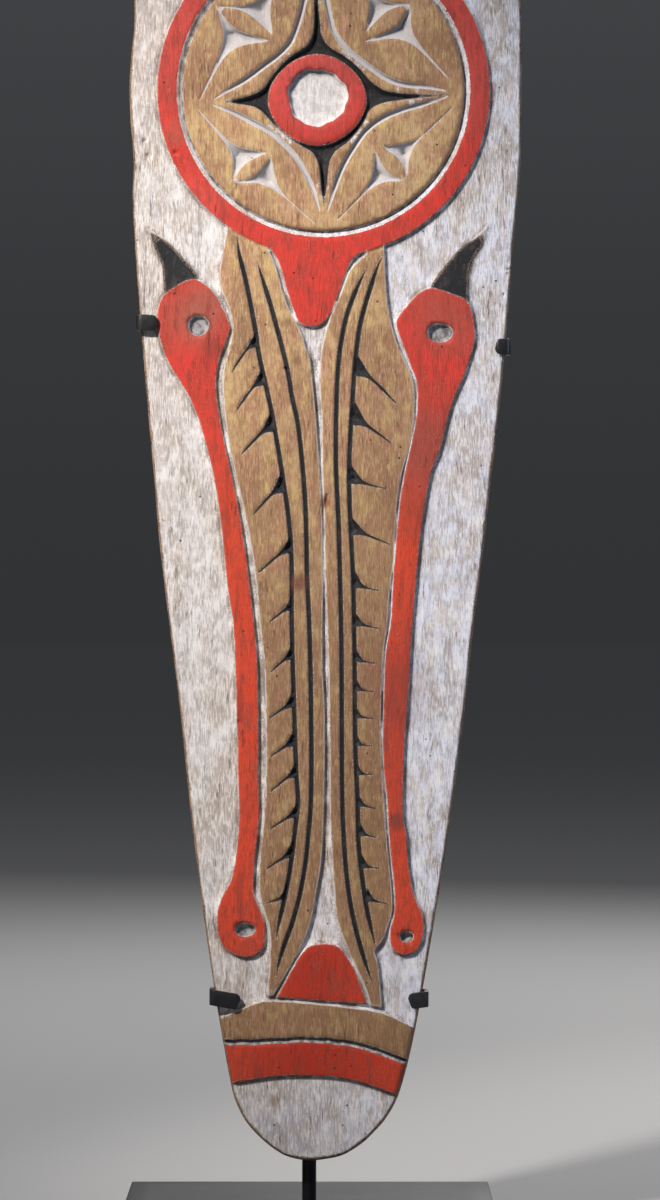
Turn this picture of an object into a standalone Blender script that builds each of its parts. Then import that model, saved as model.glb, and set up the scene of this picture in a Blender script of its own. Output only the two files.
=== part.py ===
"""Ceremonial shield: a long carved board held upright by two steel cradles on a post and a base.

Metres, +Z up. The front of the board faces -Y and the origin is the middle of the base's underside.
The board is drawn flat first, with x across it, y up it from its middle and z out of its front,
and then stood up. Its carving is given as shares: percent of the board's half width and half
length on the field, and shares of the ring's radius inside the ring.
"""
import math

import bmesh
import bpy
from mathutils import Matrix, Vector

# The board: one plank, thickest in the middle, with its ground cut down around the raised forms
BOARD_LENGTH = 1.50
BOARD_WIDTH = 0.275
BOARD_THICKNESS = 0.018
FRONT_SWELL = 0.005
EDGE_ROUND = 0.0055
RELIEF = 0.003
TIP_SKEW = 0.0055
SKEW_START = 0.8
BOARD_LEAN = math.radians(0.38)
BOARD_OFFSET = 0.0068
TIP_HEIGHT = 0.056

# The ring with its field, the four-armed star and the boss in the middle of it
RING_RADIUS = 0.1165
RING_OFFSET = -0.0016
RING_WIDTH = 0.0145
STAR_DEPTH = 0.0035
STAR_GAP = 0.003
STAR_ARMS = ((0.092, 2.5), (0.088, 91), (0.065, 181.5), (0.074, 274))
BOSS_RADIUS = 0.0335
BOSS_OFFSET = (-0.0043, -0.0069)
DISH_RADIUS = 0.0205
DISH_DEPTH = 0.003
PIT_POINTS = ((0.60, 0.03), (0.94, 0.03), (0.94, 0.67), (0.78, 0.16))
STAR_WAIST = ((1.3, 0.06), (1.08, 0.18), (1.0, 0.42))
STAR_LINE = ((1.7, 0.19), (1.22, math.pi / 4))
STAR_LINE_END = 1.06
STAR_LINE_TURN = 0.03

# Chip cuts and grooves
GROOVE_WIDTH = 0.0042
GROOVE_DEPTH = 0.003
FINE_GROOVE_WIDTH = 0.003
FINE_GROOVE_DEPTH = 0.0015
NOTCH_DEPTH = 0.003
PIT_DEPTH = 0.0032
NOTCH_WIDTH = 0.0065
EYE_RADIUS = 0.0073
FOOT_HOLE_RADIUS = 0.0055
EYE_SQUASH = 0.85
EYE_DEPTH = 0.003
GROOVE_END = 0.12
SLIT_END = 0.4
PIT_BOWS = (0.08, 0.12)
NOTCH_BOWS = (0.06, 0.10)
NOTCH_LIFT = 0.3

# The grip carved from the same wood on the back, with room for the fingers
GRIP_LENGTH = 0.170
GRIP_WIDTH = 0.026
GRIP_THICKNESS = 0.018
FINGER_GAP = 0.034
GRIP_FOOT_LENGTH = 0.030
GRIP_ROUND = 0.004
GRIP_INNER_BEND = ((0.8, 0.006), (1, 0.018))
GRIP_OUTER_BEND = ((0.75, 0.007), (1, 0.024))

# The stand
BASE_WIDTH = 0.260
BASE_DEPTH = 0.200
BASE_HEIGHT = 0.025
BASE_BEVEL = 0.0015
POST_RADIUS = 0.005
SOCKET_DEPTH = 0.015
SOCKET_CLEARANCE = 0.0003
STRIP_THICKNESS = 0.0032
STRIP_WIDTH = 0.011
FIT_GAP = 0.0003
UPPER_CRADLE_DROP = 0.171
UPPER_CRADLE_TILT = math.radians(3.5)
UPPER_PRONG_REACH = (0.0115, 0.0074)
LOWER_CRADLE_DROP = 0.647
LOWER_CRADLE_RISE = math.radians(9.0)
LOWER_PRONG_REACH = (0.0178, 0.0105)
CRADLE_FIT = 0.7
PRONG_ROUND = 0.4
BEND_RADIUS = 0.0019
POST_RISE = 0.012

HALF_LENGTH = BOARD_LENGTH / 2
HALF_WIDTH = BOARD_WIDTH / 2
GROUND = BOARD_THICKNESS - RELIEF

# How finely curves are divided, and how far cutters stand over what they cut
STEPS = 2
TAPER_STEPS = 4
SWELL_STRIPS = 4
RING_SIDES = 64
BOSS_SIDES = 36
EYE_SIDES = 18
POST_SIDES = 24
OVER = 0.004
SURFACE_SHIFT = 0.03

# Half width of the board at shares of its half length, from the middle to the tip
EDGE_LINE = [(0, 100), (14, 96.4), (44, 81.7), (74, 61.5), (88.8, 48.4), (94.4, 41), (97.4, 31.5),
             (99.3, 17), (100, 0)]

# The lower half's forms; the upper half repeats them turned over
LEFT_CLUB = [(-74.5, -18), (-81.7, -19.4), (-85.1, -21.7), (-79.2, -25.7), (-68.6, -28.9),
             (-55.1, -36.8), (-45.4, -49.7), (-41.8, -61), (-41.8, -68.7), (-45.8, -74.1),
             (-52.1, -76.8), (-49.5, -80.1), (-39.2, -81.1), (-29.2, -80.2), (-28.5, -77.9),
             (-34.1, -75.1), (-31.6, -67.9), (-33.4, -52.5), (-41.9, -40.3), (-52.7, -31.1),
             (-54.9, -27.9), (-48, -22.4), (-56.1, -19.2), (-62.6, -18.1)]
RIGHT_CLUB = [(56.2, -18.2), (73.1, -19.4), (76.8, -22.3), (66.8, -28.3), (54.8, -35.5),
              (49.9, -40.8), (42.1, -60.9), (42.1, -68.1), (45.7, -73.4), (52.7, -78),
              (47.8, -80.3), (37.8, -80.2), (35.9, -78.6), (37.9, -75.2), (32.2, -63.8), (32.5, -52.3),
              (39.4, -38), (47.8, -28.8), (36.8, -21.5), (47.1, -18.9)]
LEFT_HORN = ([(-65.2, -17.6), (-78.9, -14.7), (-90.4, -13.2)],
             [(-90.4, -13.2), (-82.8, -16.5), (-82, -20)], [(-82, -20), (-65.2, -17.6)])
RIGHT_HORN = ([(54.6, -18.1), (67.6, -14.9), (83.3, -12.2)],
              [(83.3, -12.2), (75.6, -15.8), (73.1, -20)], [(73.1, -20), (54.6, -18.1)])
TAB = ([(-32.2, -12), (-23.8, -16), (-14.9, -20.9), (-7.5, -22.1), (2.3, -21), (12.8, -16.1),
        (34.8, -12)], [(34.8, -12), (-32.2, -12)])
LEFT_LEAF = ([(-48.2, -11), (-53.4, -17.1), (-47.6, -21), (-46.4, -22.4), (-51.2, -28),
              (-47.3, -33.9), (-36, -43.2), (-29.5, -53.2), (-28.3, -66.5), (-31, -75.1),
              (-26.1, -79), (-26.4, -84.7)],
             [(-26.4, -84.7), (-9.8, -80), (-2.3, -75), (1, -69.2), (1.5, -58.2), (-1.1, -38),
              (-6.1, -26.8), (-11.2, -22.9)],
             [(-11.2, -22.9), (-18.8, -20.3), (-27.6, -15.4), (-30.2, -11)],
             [(-30.2, -11), (-48.2, -11)])
RIGHT_LEAF = ([(24.3, -85.2), (8.9, -77.5), (4.6, -66.4), (0.7, -45), (-2, -27.9), (3.6, -21)],
              [(3.6, -21), (14, -16.5), (23.8, -11)], [(23.8, -11), (29.8, -11)],
              [(29.8, -11), (32.3, -19.9), (44.3, -26.4), (46.2, -29.5), (37.8, -38), (30.4, -56),
               (31.5, -64.5), (36.5, -76), (27.7, -80.2)],
              [(27.7, -80.2), (31.6, -85.4)], [(31.6, -85.4), (24.3, -85.2)])
DOME = ([(-21.8, -84.8), (-9, -80.6), (1, -79.7), (12, -80.5), (24, -85.2)],
        [(24, -85.2), (-21.8, -84.8)])
BAND = ([(-63.9, -88.3), (-49.7, -86.8), (-30.5, -85.3), (-8.7, -85.2), (31.7, -86), (58.1, -88.7)],
        [(58.1, -88.7), (55.8, -95.2)],
        [(55.8, -95.2), (40.5, -93.7), (20, -92.4), (-4.1, -92), (-22.1, -92.1), (-64.2, -94)],
        [(-64.2, -94), (-63.9, -88.3)])
BAND_GROOVE = [(-58.9, -89), (-48.3, -89), (6.4, -88.7), (30.8, -89.7), (54, -91.2)]
LEFT_STEM = [(-44.9, -13.5), (-19.9, -37), (-15.9, -44.1), (-12.9, -57), (-11.7, -66.4),
             (-15.7, -72.9), (-22.6, -79.6)]
LEFT_VEIN = [(-34.6, -16), (-18.6, -26.2), (-9.2, -38.1), (-5.6, -53), (-6.2, -69.3),
             (-10.7, -75.3), (-22.3, -83)]
RIGHT_VEIN = [(22.1, -16.3), (11, -21.3), (6.6, -35.2), (8.9, -52), (11.8, -69.9), (16.6, -77.1),
              (27, -83.5)]
RIGHT_STEM = [(29.9, -15.2), (18.2, -22), (13.1, -35.6), (15.8, -53), (19.1, -69.9), (23.6, -76.3),
              (28.4, -80)]
SLIT = [(-0.4, -37), (1.8, -53), (3, -66)]
EYES = [(-64, -22.2), (58.9, -22.4), (-38.2, -78.5), (44, -78.9)]
LEFT_NOTCHES = [-23.8, -27.3, -31.5, -37.2, -42.8, -48.4, -52.9, -57.1, -60.9, -63.9, -67.8, -71.4,
                -75.2]
RIGHT_NOTCHES = [-26.3, -30.9, -36.6, -41.2, -46.3, -50, -53.3, -55.9, -58.5, -61, -63.7, -66.8,
                 -69.6, -72.4, -75.4]
LEFT_NOTCH_SPANS = ((-0.024, -0.019), (-0.016, -0.009))
RIGHT_NOTCH_SPANS = ((0.028, -0.020), (0.012, -0.004))


def clear_scene():
    """Remove every object that the scene starts with."""
    for thing in list(bpy.data.objects):
        bpy.data.objects.remove(thing, do_unlink=True)


def new_collection(name):
    """Add a collection under the scene's own."""
    collection = bpy.data.collections.new(name)
    bpy.context.scene.collection.children.link(collection)
    return collection


def on_board(shares, side=1):
    """Place a point given in percent of the half width and half length; side -1 turns it over."""
    return Vector((shares[0] / 100 * HALF_WIDTH, side * shares[1] / 100 * HALF_LENGTH, 0))


def polar(radius, angle):
    """Place a point by its distance and its angle from +x."""
    return Vector((radius * math.cos(angle), radius * math.sin(angle), 0))


def smooth(points, closed=False):
    """Run a curve through the points, with even speed so that it doesn't overshoot."""
    count = len(points)
    line = []
    for i in range(count if closed else count - 1):
        b = points[i]
        c = points[(i + 1) % count]
        a = points[i - 1] if i or closed else b + (b - c)
        d = points[(i + 2) % count] if i + 2 < count or closed else c + (c - b)
        t1 = math.sqrt((b - a).length)
        t2 = t1 + math.sqrt((c - b).length)
        t3 = t2 + math.sqrt((d - c).length)
        for step in range(STEPS):
            t = t1 + (t2 - t1) * step / STEPS
            ab = a.lerp(b, t / t1)
            bc = b.lerp(c, (t - t1) / (t2 - t1))
            cd = c.lerp(d, (t - t2) / (t3 - t2))
            abc = ab.lerp(bc, t / t2)
            bcd = bc.lerp(cd, (t - t1) / (t3 - t1))
            line.append(abc.lerp(bcd, (t - t1) / (t2 - t1)))
    return line if closed else line + [points[-1]]


def bow(start, end, towards, share):
    """Run an arc from start to end that bends towards a point by a share of its length."""
    middle = start.lerp(end, 0.5)
    bend = (towards - middle).normalized() * (end - start).length * share
    return smooth([start, middle + bend, end])


def outline_of(stretches, side=1):
    """Join smooth stretches, given as shares, into one closed outline with corners between."""
    outline = []
    for stretch in stretches:
        points = [on_board(shares, side) for shares in stretch]
        outline += (smooth(points) if len(points) > 2 else points)[:-1]
    return outline


def board_outline():
    """Trace the board's edge from the upper tip down its right side and up its left."""
    lower = [(half, -along) for along, half in EDGE_LINE]
    upper = [(half, along) for along, half in EDGE_LINE[:0:-1]]
    right = upper + lower
    left = [(-half, along) for half, along in right[-2:0:-1]]
    points = [on_board(shares) for shares in right + left]
    for point in points:
        past = max(0, abs(point.y) / HALF_LENGTH - SKEW_START) / (1 - SKEW_START)
        point.x -= TIP_SKEW * past ** 2
    return smooth(points, closed=True)


def crossing(line, height):
    """Give x where a line of points first passes a height."""
    for start, end in zip(line, line[1:]):
        if min(start.y, end.y) <= height <= max(start.y, end.y) and start.y != end.y:
            return start.x + (end.x - start.x) * (height - start.y) / (end.y - start.y)
    raise ValueError("the line doesn't reach this height")


def post_line(height):
    """Give x on the leaning board where the upright post passes behind it."""
    return -BOARD_OFFSET - (height + HALF_LENGTH) * math.tan(BOARD_LEAN)


def front_level(x, level):
    """Lower a level on the front by the swell, which falls away towards the edges."""
    return level * (1 - FRONT_SWELL / BOARD_THICKNESS * (x / HALF_WIDTH) ** 2)


def real_mesh(thing):
    """Replace a curve, or a mesh with modifiers, by the welded mesh that it evaluates to, in place."""
    bpy.context.view_layer.update()
    evaluated = thing.evaluated_get(bpy.context.evaluated_depsgraph_get())
    mesh = bpy.data.meshes.new_from_object(evaluated)
    welded = bmesh.new()
    welded.from_mesh(mesh)
    bmesh.ops.remove_doubles(welded, verts=welded.verts, dist=1e-6)
    bmesh.ops.recalc_face_normals(welded, faces=welded.faces)
    welded.to_mesh(mesh)
    welded.free()
    mesh.transform(thing.matrix_world)
    name = thing.name
    collection = thing.users_collection[0]
    bpy.data.objects.remove(thing, do_unlink=True)
    solid = bpy.data.objects.new(name, mesh)
    collection.objects.link(solid)
    bpy.context.view_layer.update()
    return solid


def flat_curve(name, points, cyclic, dimensions, collection):
    """Lay a flat curve object with straight spans through the points."""
    data = bpy.data.curves.new(name, "CURVE")
    data.dimensions = dimensions
    spline = data.splines.new("POLY")
    spline.points.add(len(points) - 1)
    for slot, point in zip(spline.points, points):
        slot.co = (point.x, point.y, 0, 1)
    spline.use_cyclic_u = cyclic
    thing = bpy.data.objects.new(name, data)
    collection.objects.link(thing)
    return thing


def prism(name, outline, low, high, collection):
    """Fill a flat outline and give it height from low to high."""
    thing = flat_curve(name, outline, True, "2D", collection)
    thing.data.fill_mode = "BOTH"
    thing.data.extrude = (high - low) / 2
    thing.location.z = (low + high) / 2
    return real_mesh(thing)


def groove(name, line, width, depth, collection, end=GROOVE_END):
    """Lay a V cut along a line in the front; its ends narrow to the given share."""
    thing = flat_curve(name, line, False, "3D", collection)
    thing.data.twist_mode = "Z_UP"
    thing.data.bevel_depth = width / 2
    thing.data.bevel_resolution = 0
    thing.data.use_fill_caps = True
    points = thing.data.splines[0].points
    for i, point in enumerate(points):
        from_end = min(i, len(points) - 1 - i)
        point.radius = min(1, end + (1 - end) * from_end / TAPER_STEPS)
    thing.scale.z = depth / (width / 2)
    thing.location.z = BOARD_THICKNESS + width * SURFACE_SHIFT
    return real_mesh(thing)


def chip(name, outline, apex, depth, collection):
    """Make a chip cut: an outline on the front that runs down to one deepest point."""
    floor = BOARD_THICKNESS - depth
    thing = prism(name, outline, floor, BOARD_THICKNESS + depth * SURFACE_SHIFT, collection)
    shape = bmesh.new()
    shape.from_mesh(thing.data)
    foot = [vert for vert in shape.verts if vert.co.z < floor + depth / 2]
    bmesh.ops.pointmerge(shape, verts=foot, merge_co=(apex.x, apex.y, floor))
    shape.to_mesh(thing.data)
    shape.free()
    return thing


def adopt(name, collection):
    """Name the primitive that was just added and move it to its collection."""
    thing = bpy.context.active_object
    thing.name = name
    for home in list(thing.users_collection):
        home.objects.unlink(thing)
    collection.objects.link(thing)
    return thing


def upright_round(name, centre, radius, low, high, sides, collection):
    """Add an upright cylinder from low to high."""
    bpy.ops.mesh.primitive_cylinder_add(vertices=sides, radius=radius, depth=high - low)
    thing = adopt(name, collection)
    thing.location = (centre[0], centre[1], (low + high) / 2)
    bpy.context.view_layer.update()
    return thing


def boolean(thing, operation, others):
    """Cut, join or keep by another object or by a whole collection, and make the result real."""
    modifier = thing.modifiers.new(operation.lower(), "BOOLEAN")
    modifier.operation = operation
    modifier.solver = "EXACT"
    if isinstance(others, bpy.types.Collection):
        modifier.operand_type = "COLLECTION"
        modifier.collection = others
    else:
        modifier.object = others
    return real_mesh(thing)


def rounded(thing, width, segments, angle):
    """Round the edges of an object that are sharper than an angle."""
    modifier = thing.modifiers.new("rounded", "BEVEL")
    modifier.width = width
    modifier.segments = segments
    modifier.limit_method = "ANGLE"
    modifier.angle_limit = math.radians(angle)
    return real_mesh(thing)


def finish(thing, colour, roughness, metallic):
    """Give a piece its own material and soft shading over its rounded stretches."""
    material = bpy.data.materials.new(thing.name)
    material.use_nodes = True
    shader = material.node_tree.nodes["Principled BSDF"]
    shader.inputs["Base Color"].default_value = (*colour, 1)
    shader.inputs["Roughness"].default_value = roughness
    shader.inputs["Metallic"].default_value = metallic
    thing.data.materials.clear()
    thing.data.materials.append(material)
    thing.data.shade_smooth()
    thing.data.set_sharp_from_angle(angle=math.radians(35))


def field_forms(collection):
    """Make the raised forms of the field, for both halves of the board."""
    low = GROUND - OVER
    high = BOARD_THICKNESS + 2 * OVER
    cornered = {"left_horn": LEFT_HORN, "right_horn": RIGHT_HORN, "left_leaf": LEFT_LEAF,
                "right_leaf": RIGHT_LEAF, "tab": TAB, "dome": DOME, "band": BAND}
    for half, side in (("lower", 1), ("upper", -1)):
        for name, shares in (("left_club", LEFT_CLUB), ("right_club", RIGHT_CLUB)):
            outline = smooth([on_board(point, side) for point in shares], closed=True)
            prism(f"{half}_{name}", outline, low, high, collection)
        for name, stretches in cornered.items():
            prism(f"{half}_{name}", outline_of(stretches, side), low, high, collection)
    upright_round("ring_disc", (RING_OFFSET, 0), RING_RADIUS, low, high, RING_SIDES, collection)


def cut_ground(forms, cutters):
    """Make what is cleared from the front: everything above the ground but the forms."""
    reach = HALF_WIDTH + OVER
    rise = HALF_LENGTH + OVER
    corners = [Vector((x, y, 0)) for x, y in ((reach, rise), (-reach, rise), (-reach, -rise),
                                              (reach, -rise))]
    ground = prism("ground", corners, GROUND, BOARD_THICKNESS + OVER, cutters)
    boolean(ground, "DIFFERENCE", forms)


def star_arm(quarter):
    """Give an arm's reach and direction, counted round from the right."""
    reach, direction = STAR_ARMS[quarter % 4]
    return reach, math.radians(direction) + quarter // 4 * 2 * math.pi


def star_outline(boss):
    """Trace the star: a round gap about the boss that runs out into four pointed arms."""
    gap = BOSS_RADIUS + STAR_GAP
    outline = []
    for quarter in range(4):
        reach, axis = star_arm(quarter)
        next_reach, next_axis = star_arm(quarter + 1)
        points = [polar(reach, axis)]
        points += [polar(gap * out, axis + turn) for out, turn in STAR_WAIST]
        points += [polar(gap, (axis + next_axis) / 2)]
        points += [polar(gap * out, next_axis - turn) for out, turn in STAR_WAIST[::-1]]
        points += [polar(next_reach, next_axis)]
        outline += smooth([boss + point for point in points])[:-1]
    return outline


def star_line(boss, quarter):
    """Trace the fine line that follows the star from one arm's tip to the next."""
    reach, axis = star_arm(quarter)
    next_reach, next_axis = star_arm(quarter + 1)
    points = [polar(reach * STAR_LINE_END, axis + STAR_LINE_TURN)]
    points += [polar(BOSS_RADIUS * out, axis + turn) for out, turn in STAR_LINE]
    points += [polar(BOSS_RADIUS * out, next_axis - turn) for out, turn in STAR_LINE[-2::-1]]
    points += [polar(next_reach * STAR_LINE_END, next_axis - STAR_LINE_TURN)]
    return smooth([boss + point for point in points])


def cut_ring(cutters):
    """Make the cuts inside the ring: its inner groove, the star, the dish and the eight pits."""
    centre = Vector((RING_OFFSET, 0, 0))
    boss = centre + Vector((*BOSS_OFFSET, 0))
    inner = RING_RADIUS - RING_WIDTH - GROOVE_WIDTH / 2
    bpy.ops.mesh.primitive_torus_add(major_segments=RING_SIDES, minor_segments=4,
                                     major_radius=inner, minor_radius=GROOVE_WIDTH / 2)
    torus = adopt("ring_groove", cutters)
    torus.scale.z = GROOVE_DEPTH / (GROOVE_WIDTH / 2)
    torus.location = (centre.x, centre.y, BOARD_THICKNESS + GROOVE_WIDTH * SURFACE_SHIFT)
    floor = BOARD_THICKNESS - STAR_DEPTH
    star = prism("star", star_outline(boss), floor, BOARD_THICKNESS + OVER, cutters)
    disc = upright_round("boss", boss, BOSS_RADIUS, floor - OVER, BOARD_THICKNESS + 2 * OVER,
                         BOSS_SIDES, cutters)
    boolean(star, "DIFFERENCE", disc)
    bpy.data.objects.remove(disc, do_unlink=True)
    upright_round("dish", boss, DISH_RADIUS, BOARD_THICKNESS - DISH_DEPTH, BOARD_THICKNESS + OVER,
                  BOSS_SIDES, cutters)
    field = inner - GROOVE_WIDTH
    for quarter in range(4):
        groove(f"star_line_{quarter}", star_line(boss, quarter), FINE_GROOVE_WIDTH,
               FINE_GROOVE_DEPTH, cutters)
        middle = (quarter + 0.5) * math.pi / 2
        for side in (-1, 1):
            near, far, tail, apex = (centre + polar(field * out, middle + side * turn)
                                     for out, turn in PIT_POINTS)
            outline = bow(near, far, apex, PIT_BOWS[0])[:-1]
            outline += bow(far, tail, apex, PIT_BOWS[1])[:-1]
            outline += bow(tail, near, apex, PIT_BOWS[1])[:-1]
            chip(f"pit_{quarter}_{side}", outline, apex, PIT_DEPTH, cutters)


def cut_notches(name, stem, heights, spans, side, cutters):
    """Make a row of notches that leave a stem groove and grow shorter down the leaf."""
    first, last = (Vector((*span, 0)) for span in spans)
    for i, share in enumerate(heights):
        height = on_board((0, share), side).y
        span = first.lerp(last, i / (len(heights) - 1))
        across = Vector((span.x, 0, 0))
        root = Vector((crossing(stem, height), height, 0))
        tip = root + Vector((span.x, side * span.y, 0))
        up = Vector((0, side * NOTCH_WIDTH / 2, 0))
        apex = root + up * NOTCH_LIFT + across.normalized() * GROOVE_WIDTH / 4
        outline = bow(root + up, tip, root + up + across, NOTCH_BOWS[0])[:-1]
        outline += bow(tip, root - up, root + across, NOTCH_BOWS[1])
        chip(f"{name}_{i}", outline, apex, NOTCH_DEPTH, cutters)


def cut_field(cutters):
    """Make the grooves, notches and holes of the field, for both halves of the board."""
    stems = {"left_stem": LEFT_STEM, "left_vein": LEFT_VEIN, "right_vein": RIGHT_VEIN,
             "right_stem": RIGHT_STEM}
    for half, side in (("lower", 1), ("upper", -1)):
        lines = {}
        for name, shares in stems.items():
            lines[name] = smooth([on_board(point, side) for point in shares])
            groove(f"{half}_{name}", lines[name], GROOVE_WIDTH, GROOVE_DEPTH, cutters)
        for name, shares, end in (("slit", SLIT, SLIT_END), ("band_groove", BAND_GROOVE, 1)):
            line = smooth([on_board(point, side) for point in shares])
            groove(f"{half}_{name}", line, GROOVE_WIDTH, GROOVE_DEPTH, cutters, end)
        cut_notches(f"{half}_left_notch", lines["left_stem"], LEFT_NOTCHES, LEFT_NOTCH_SPANS, side,
                    cutters)
        cut_notches(f"{half}_right_notch", lines["right_stem"], RIGHT_NOTCHES, RIGHT_NOTCH_SPANS,
                    side, cutters)
        for i, shares in enumerate(EYES):
            radius = EYE_RADIUS if i < 2 else FOOT_HOLE_RADIUS
            eye = upright_round(f"{half}_eye_{i}", on_board(shares, side), radius,
                                BOARD_THICKNESS - EYE_DEPTH, BOARD_THICKNESS + OVER, EYE_SIDES,
                                cutters)
            eye.scale.y = EYE_SQUASH


def swell_front(board):
    """Lower the front towards the edges, after cutting the flat faces into strips to follow it."""
    shape = bmesh.new()
    shape.from_mesh(board.data)
    for i in range(1, 2 * SWELL_STRIPS):
        at = Vector(((i / SWELL_STRIPS - 1) * HALF_WIDTH, 0, 0))
        everything = shape.verts[:] + shape.edges[:] + shape.faces[:]
        bmesh.ops.bisect_plane(shape, geom=everything, plane_co=at, plane_no=(1, 0, 0), dist=1e-6)
    for vert in shape.verts:
        if vert.co.z > 0:
            vert.co.z = front_level(vert.co.x, vert.co.z)
    bmesh.ops.triangulate(shape, faces=shape.faces)
    shape.to_mesh(board.data)
    shape.free()


def make_grip(cutters):
    """Shape the grip from the side: two feet on the back and an arched bar between them."""
    half = GRIP_LENGTH / 2
    inner = half - GRIP_FOOT_LENGTH
    stand_off = FINGER_GAP + GRIP_THICKNESS
    inside = [(-OVER, inner)]
    inside += [(FINGER_GAP * share, inner - run) for share, run in GRIP_INNER_BEND]
    outside = [(-OVER, half)]
    outside += [(stand_off * share, half - run) for share, run in GRIP_OUTER_BEND]
    points = inside + [(out, -along) for out, along in inside[::-1]]
    points += [(out, -along) for out, along in outside] + outside[::-1]
    outline = [Vector((*point, 0)) for point in points]
    grip = prism("grip", outline, -GRIP_WIDTH / 2, GRIP_WIDTH / 2, cutters)
    grip = rounded(grip, GRIP_ROUND, 2, 60)
    grip.data.transform(Matrix.Rotation(math.pi / 2, 4, "Y"))
    return grip


def to_world():
    """Stand the flat board up in front of the post, over the base, with its lean."""
    behind = -(POST_RADIUS + 2 * FIT_GAP + STRIP_THICKNESS)
    centre = Vector((BOARD_OFFSET + HALF_LENGTH * math.sin(BOARD_LEAN), behind,
                     TIP_HEIGHT + HALF_LENGTH * math.cos(BOARD_LEAN)))
    lean = Matrix.Rotation(BOARD_LEAN, 4, "Y")
    upright = Matrix.Rotation(math.pi / 2, 4, "X")
    return Matrix.Translation(centre) @ lean @ upright


def make_board(parts):
    """Carve the board and its grip from one block."""
    forms = new_collection("forms")
    cutters = new_collection("carving_cuts")
    board = prism("shield_board", board_outline(), 0, BOARD_THICKNESS, parts)
    board = rounded(board, EDGE_ROUND, 2, 40)
    field_forms(forms)
    cut_ground(forms, cutters)
    cut_ring(cutters)
    cut_field(cutters)
    board = boolean(board, "DIFFERENCE", cutters)
    swell_front(board)
    board = boolean(board, "UNION", make_grip(forms))
    board.matrix_world = to_world()
    finish(board, (0.55, 0.42, 0.32), 0.7, 0)
    return forms, cutters


def make_base(parts, cutters):
    """Make the flat base with a blind socket for the post."""
    bpy.ops.mesh.primitive_cube_add(size=1)
    base = adopt("stand_base", parts)
    base.data.transform(Matrix.Diagonal((BASE_WIDTH, BASE_DEPTH, BASE_HEIGHT, 1)))
    base.location.z = BASE_HEIGHT / 2
    base = rounded(base, BASE_BEVEL, 2, 40)
    socket = upright_round("socket", (0, 0), POST_RADIUS + SOCKET_CLEARANCE,
                           BASE_HEIGHT - SOCKET_DEPTH, BASE_HEIGHT + OVER, POST_SIDES, cutters)
    base = boolean(base, "DIFFERENCE", socket)
    finish(base, (0.012, 0.014, 0.017), 0.45, 0.2)


def make_post(parts):
    """Make the round post, from the floor of its socket to just above the upper cradle."""
    foot = BASE_HEIGHT - SOCKET_DEPTH + FIT_GAP
    crossing_point = Vector((post_line(-UPPER_CRADLE_DROP), -UPPER_CRADLE_DROP, 0))
    top = (to_world() @ crossing_point).z + POST_RISE
    post = upright_round("stand_post", (0, 0), POST_RADIUS, foot, top, POST_SIDES, parts)
    finish(post, (0.012, 0.014, 0.018), 0.4, 0.3)


def bent_corner(x, z, dx, dz):
    """Trace the outside of one bend of a strip; dx and dz point to the strip's inside."""
    size = BEND_RADIUS
    steps = [i * math.pi / 8 for i in range(5)]
    return [Vector((x + dx * size * (1 - math.cos(turn)), z + dz * size * (1 - math.sin(turn)), 0))
            for turn in steps]


def cradle_plan(edges, tips, levels):
    """Trace a cradle from above: a strip behind the board, legs past its edges, prongs in front."""
    back = -FIT_GAP
    rear = back - STRIP_THICKNESS
    left, right = edges
    left_out = left - STRIP_THICKNESS
    right_out = right + STRIP_THICKNESS
    left_top, right_top = (level + STRIP_THICKNESS for level in levels)
    corners = [(left, back), (left, levels[0]), (tips[0], levels[0]), (tips[0], left_top)]
    outline = [Vector((*corner, 0)) for corner in corners]
    outline += bent_corner(left_out, left_top, 1, -1)[::-1] + bent_corner(left_out, rear, 1, 1)
    outline += bent_corner(right_out, rear, -1, 1)[::-1] + bent_corner(right_out, right_top, -1, -1)
    corners = [(tips[1], right_top), (tips[1], levels[1]), (right, levels[1]), (right, back)]
    return outline + [Vector((*corner, 0)) for corner in corners]


def cradle_face(left, middle, right):
    """Trace a cradle's band of metal from the front, as wide as the strip, through its middle."""
    half = STRIP_WIDTH / 2
    into = (middle - left).normalized()
    out = (right - middle).normalized()
    into_up = Vector((-into.y, into.x, 0)) * half
    out_up = Vector((-out.y, out.x, 0)) * half
    mitre = (into_up + out_up) / 2
    start = left - into * STRIP_WIDTH
    end = right + out * STRIP_WIDTH
    return [start - into_up, middle - mitre, end - out_up, end + out_up, middle + mitre,
            start + into_up]


def round_tips(strip, tips):
    """Round the two corners of each prong's tip."""
    shape = bmesh.new()
    shape.from_mesh(strip.data)
    corners = []
    for edge in shape.edges:
        low, high = (vert.co for vert in edge.verts)
        across = abs(low.z - high.z) > 0.9 * edge.calc_length()
        if across and any(abs(low.x - tip) < 1e-5 and abs(high.x - tip) < 1e-5 for tip in tips):
            corners.append(edge)
    bmesh.ops.bevel(shape, geom=corners, offset=STRIP_WIDTH * PRONG_ROUND, segments=3, profile=0.5,
                    affect="EDGES")
    shape.to_mesh(strip.data)
    shape.free()


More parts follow.
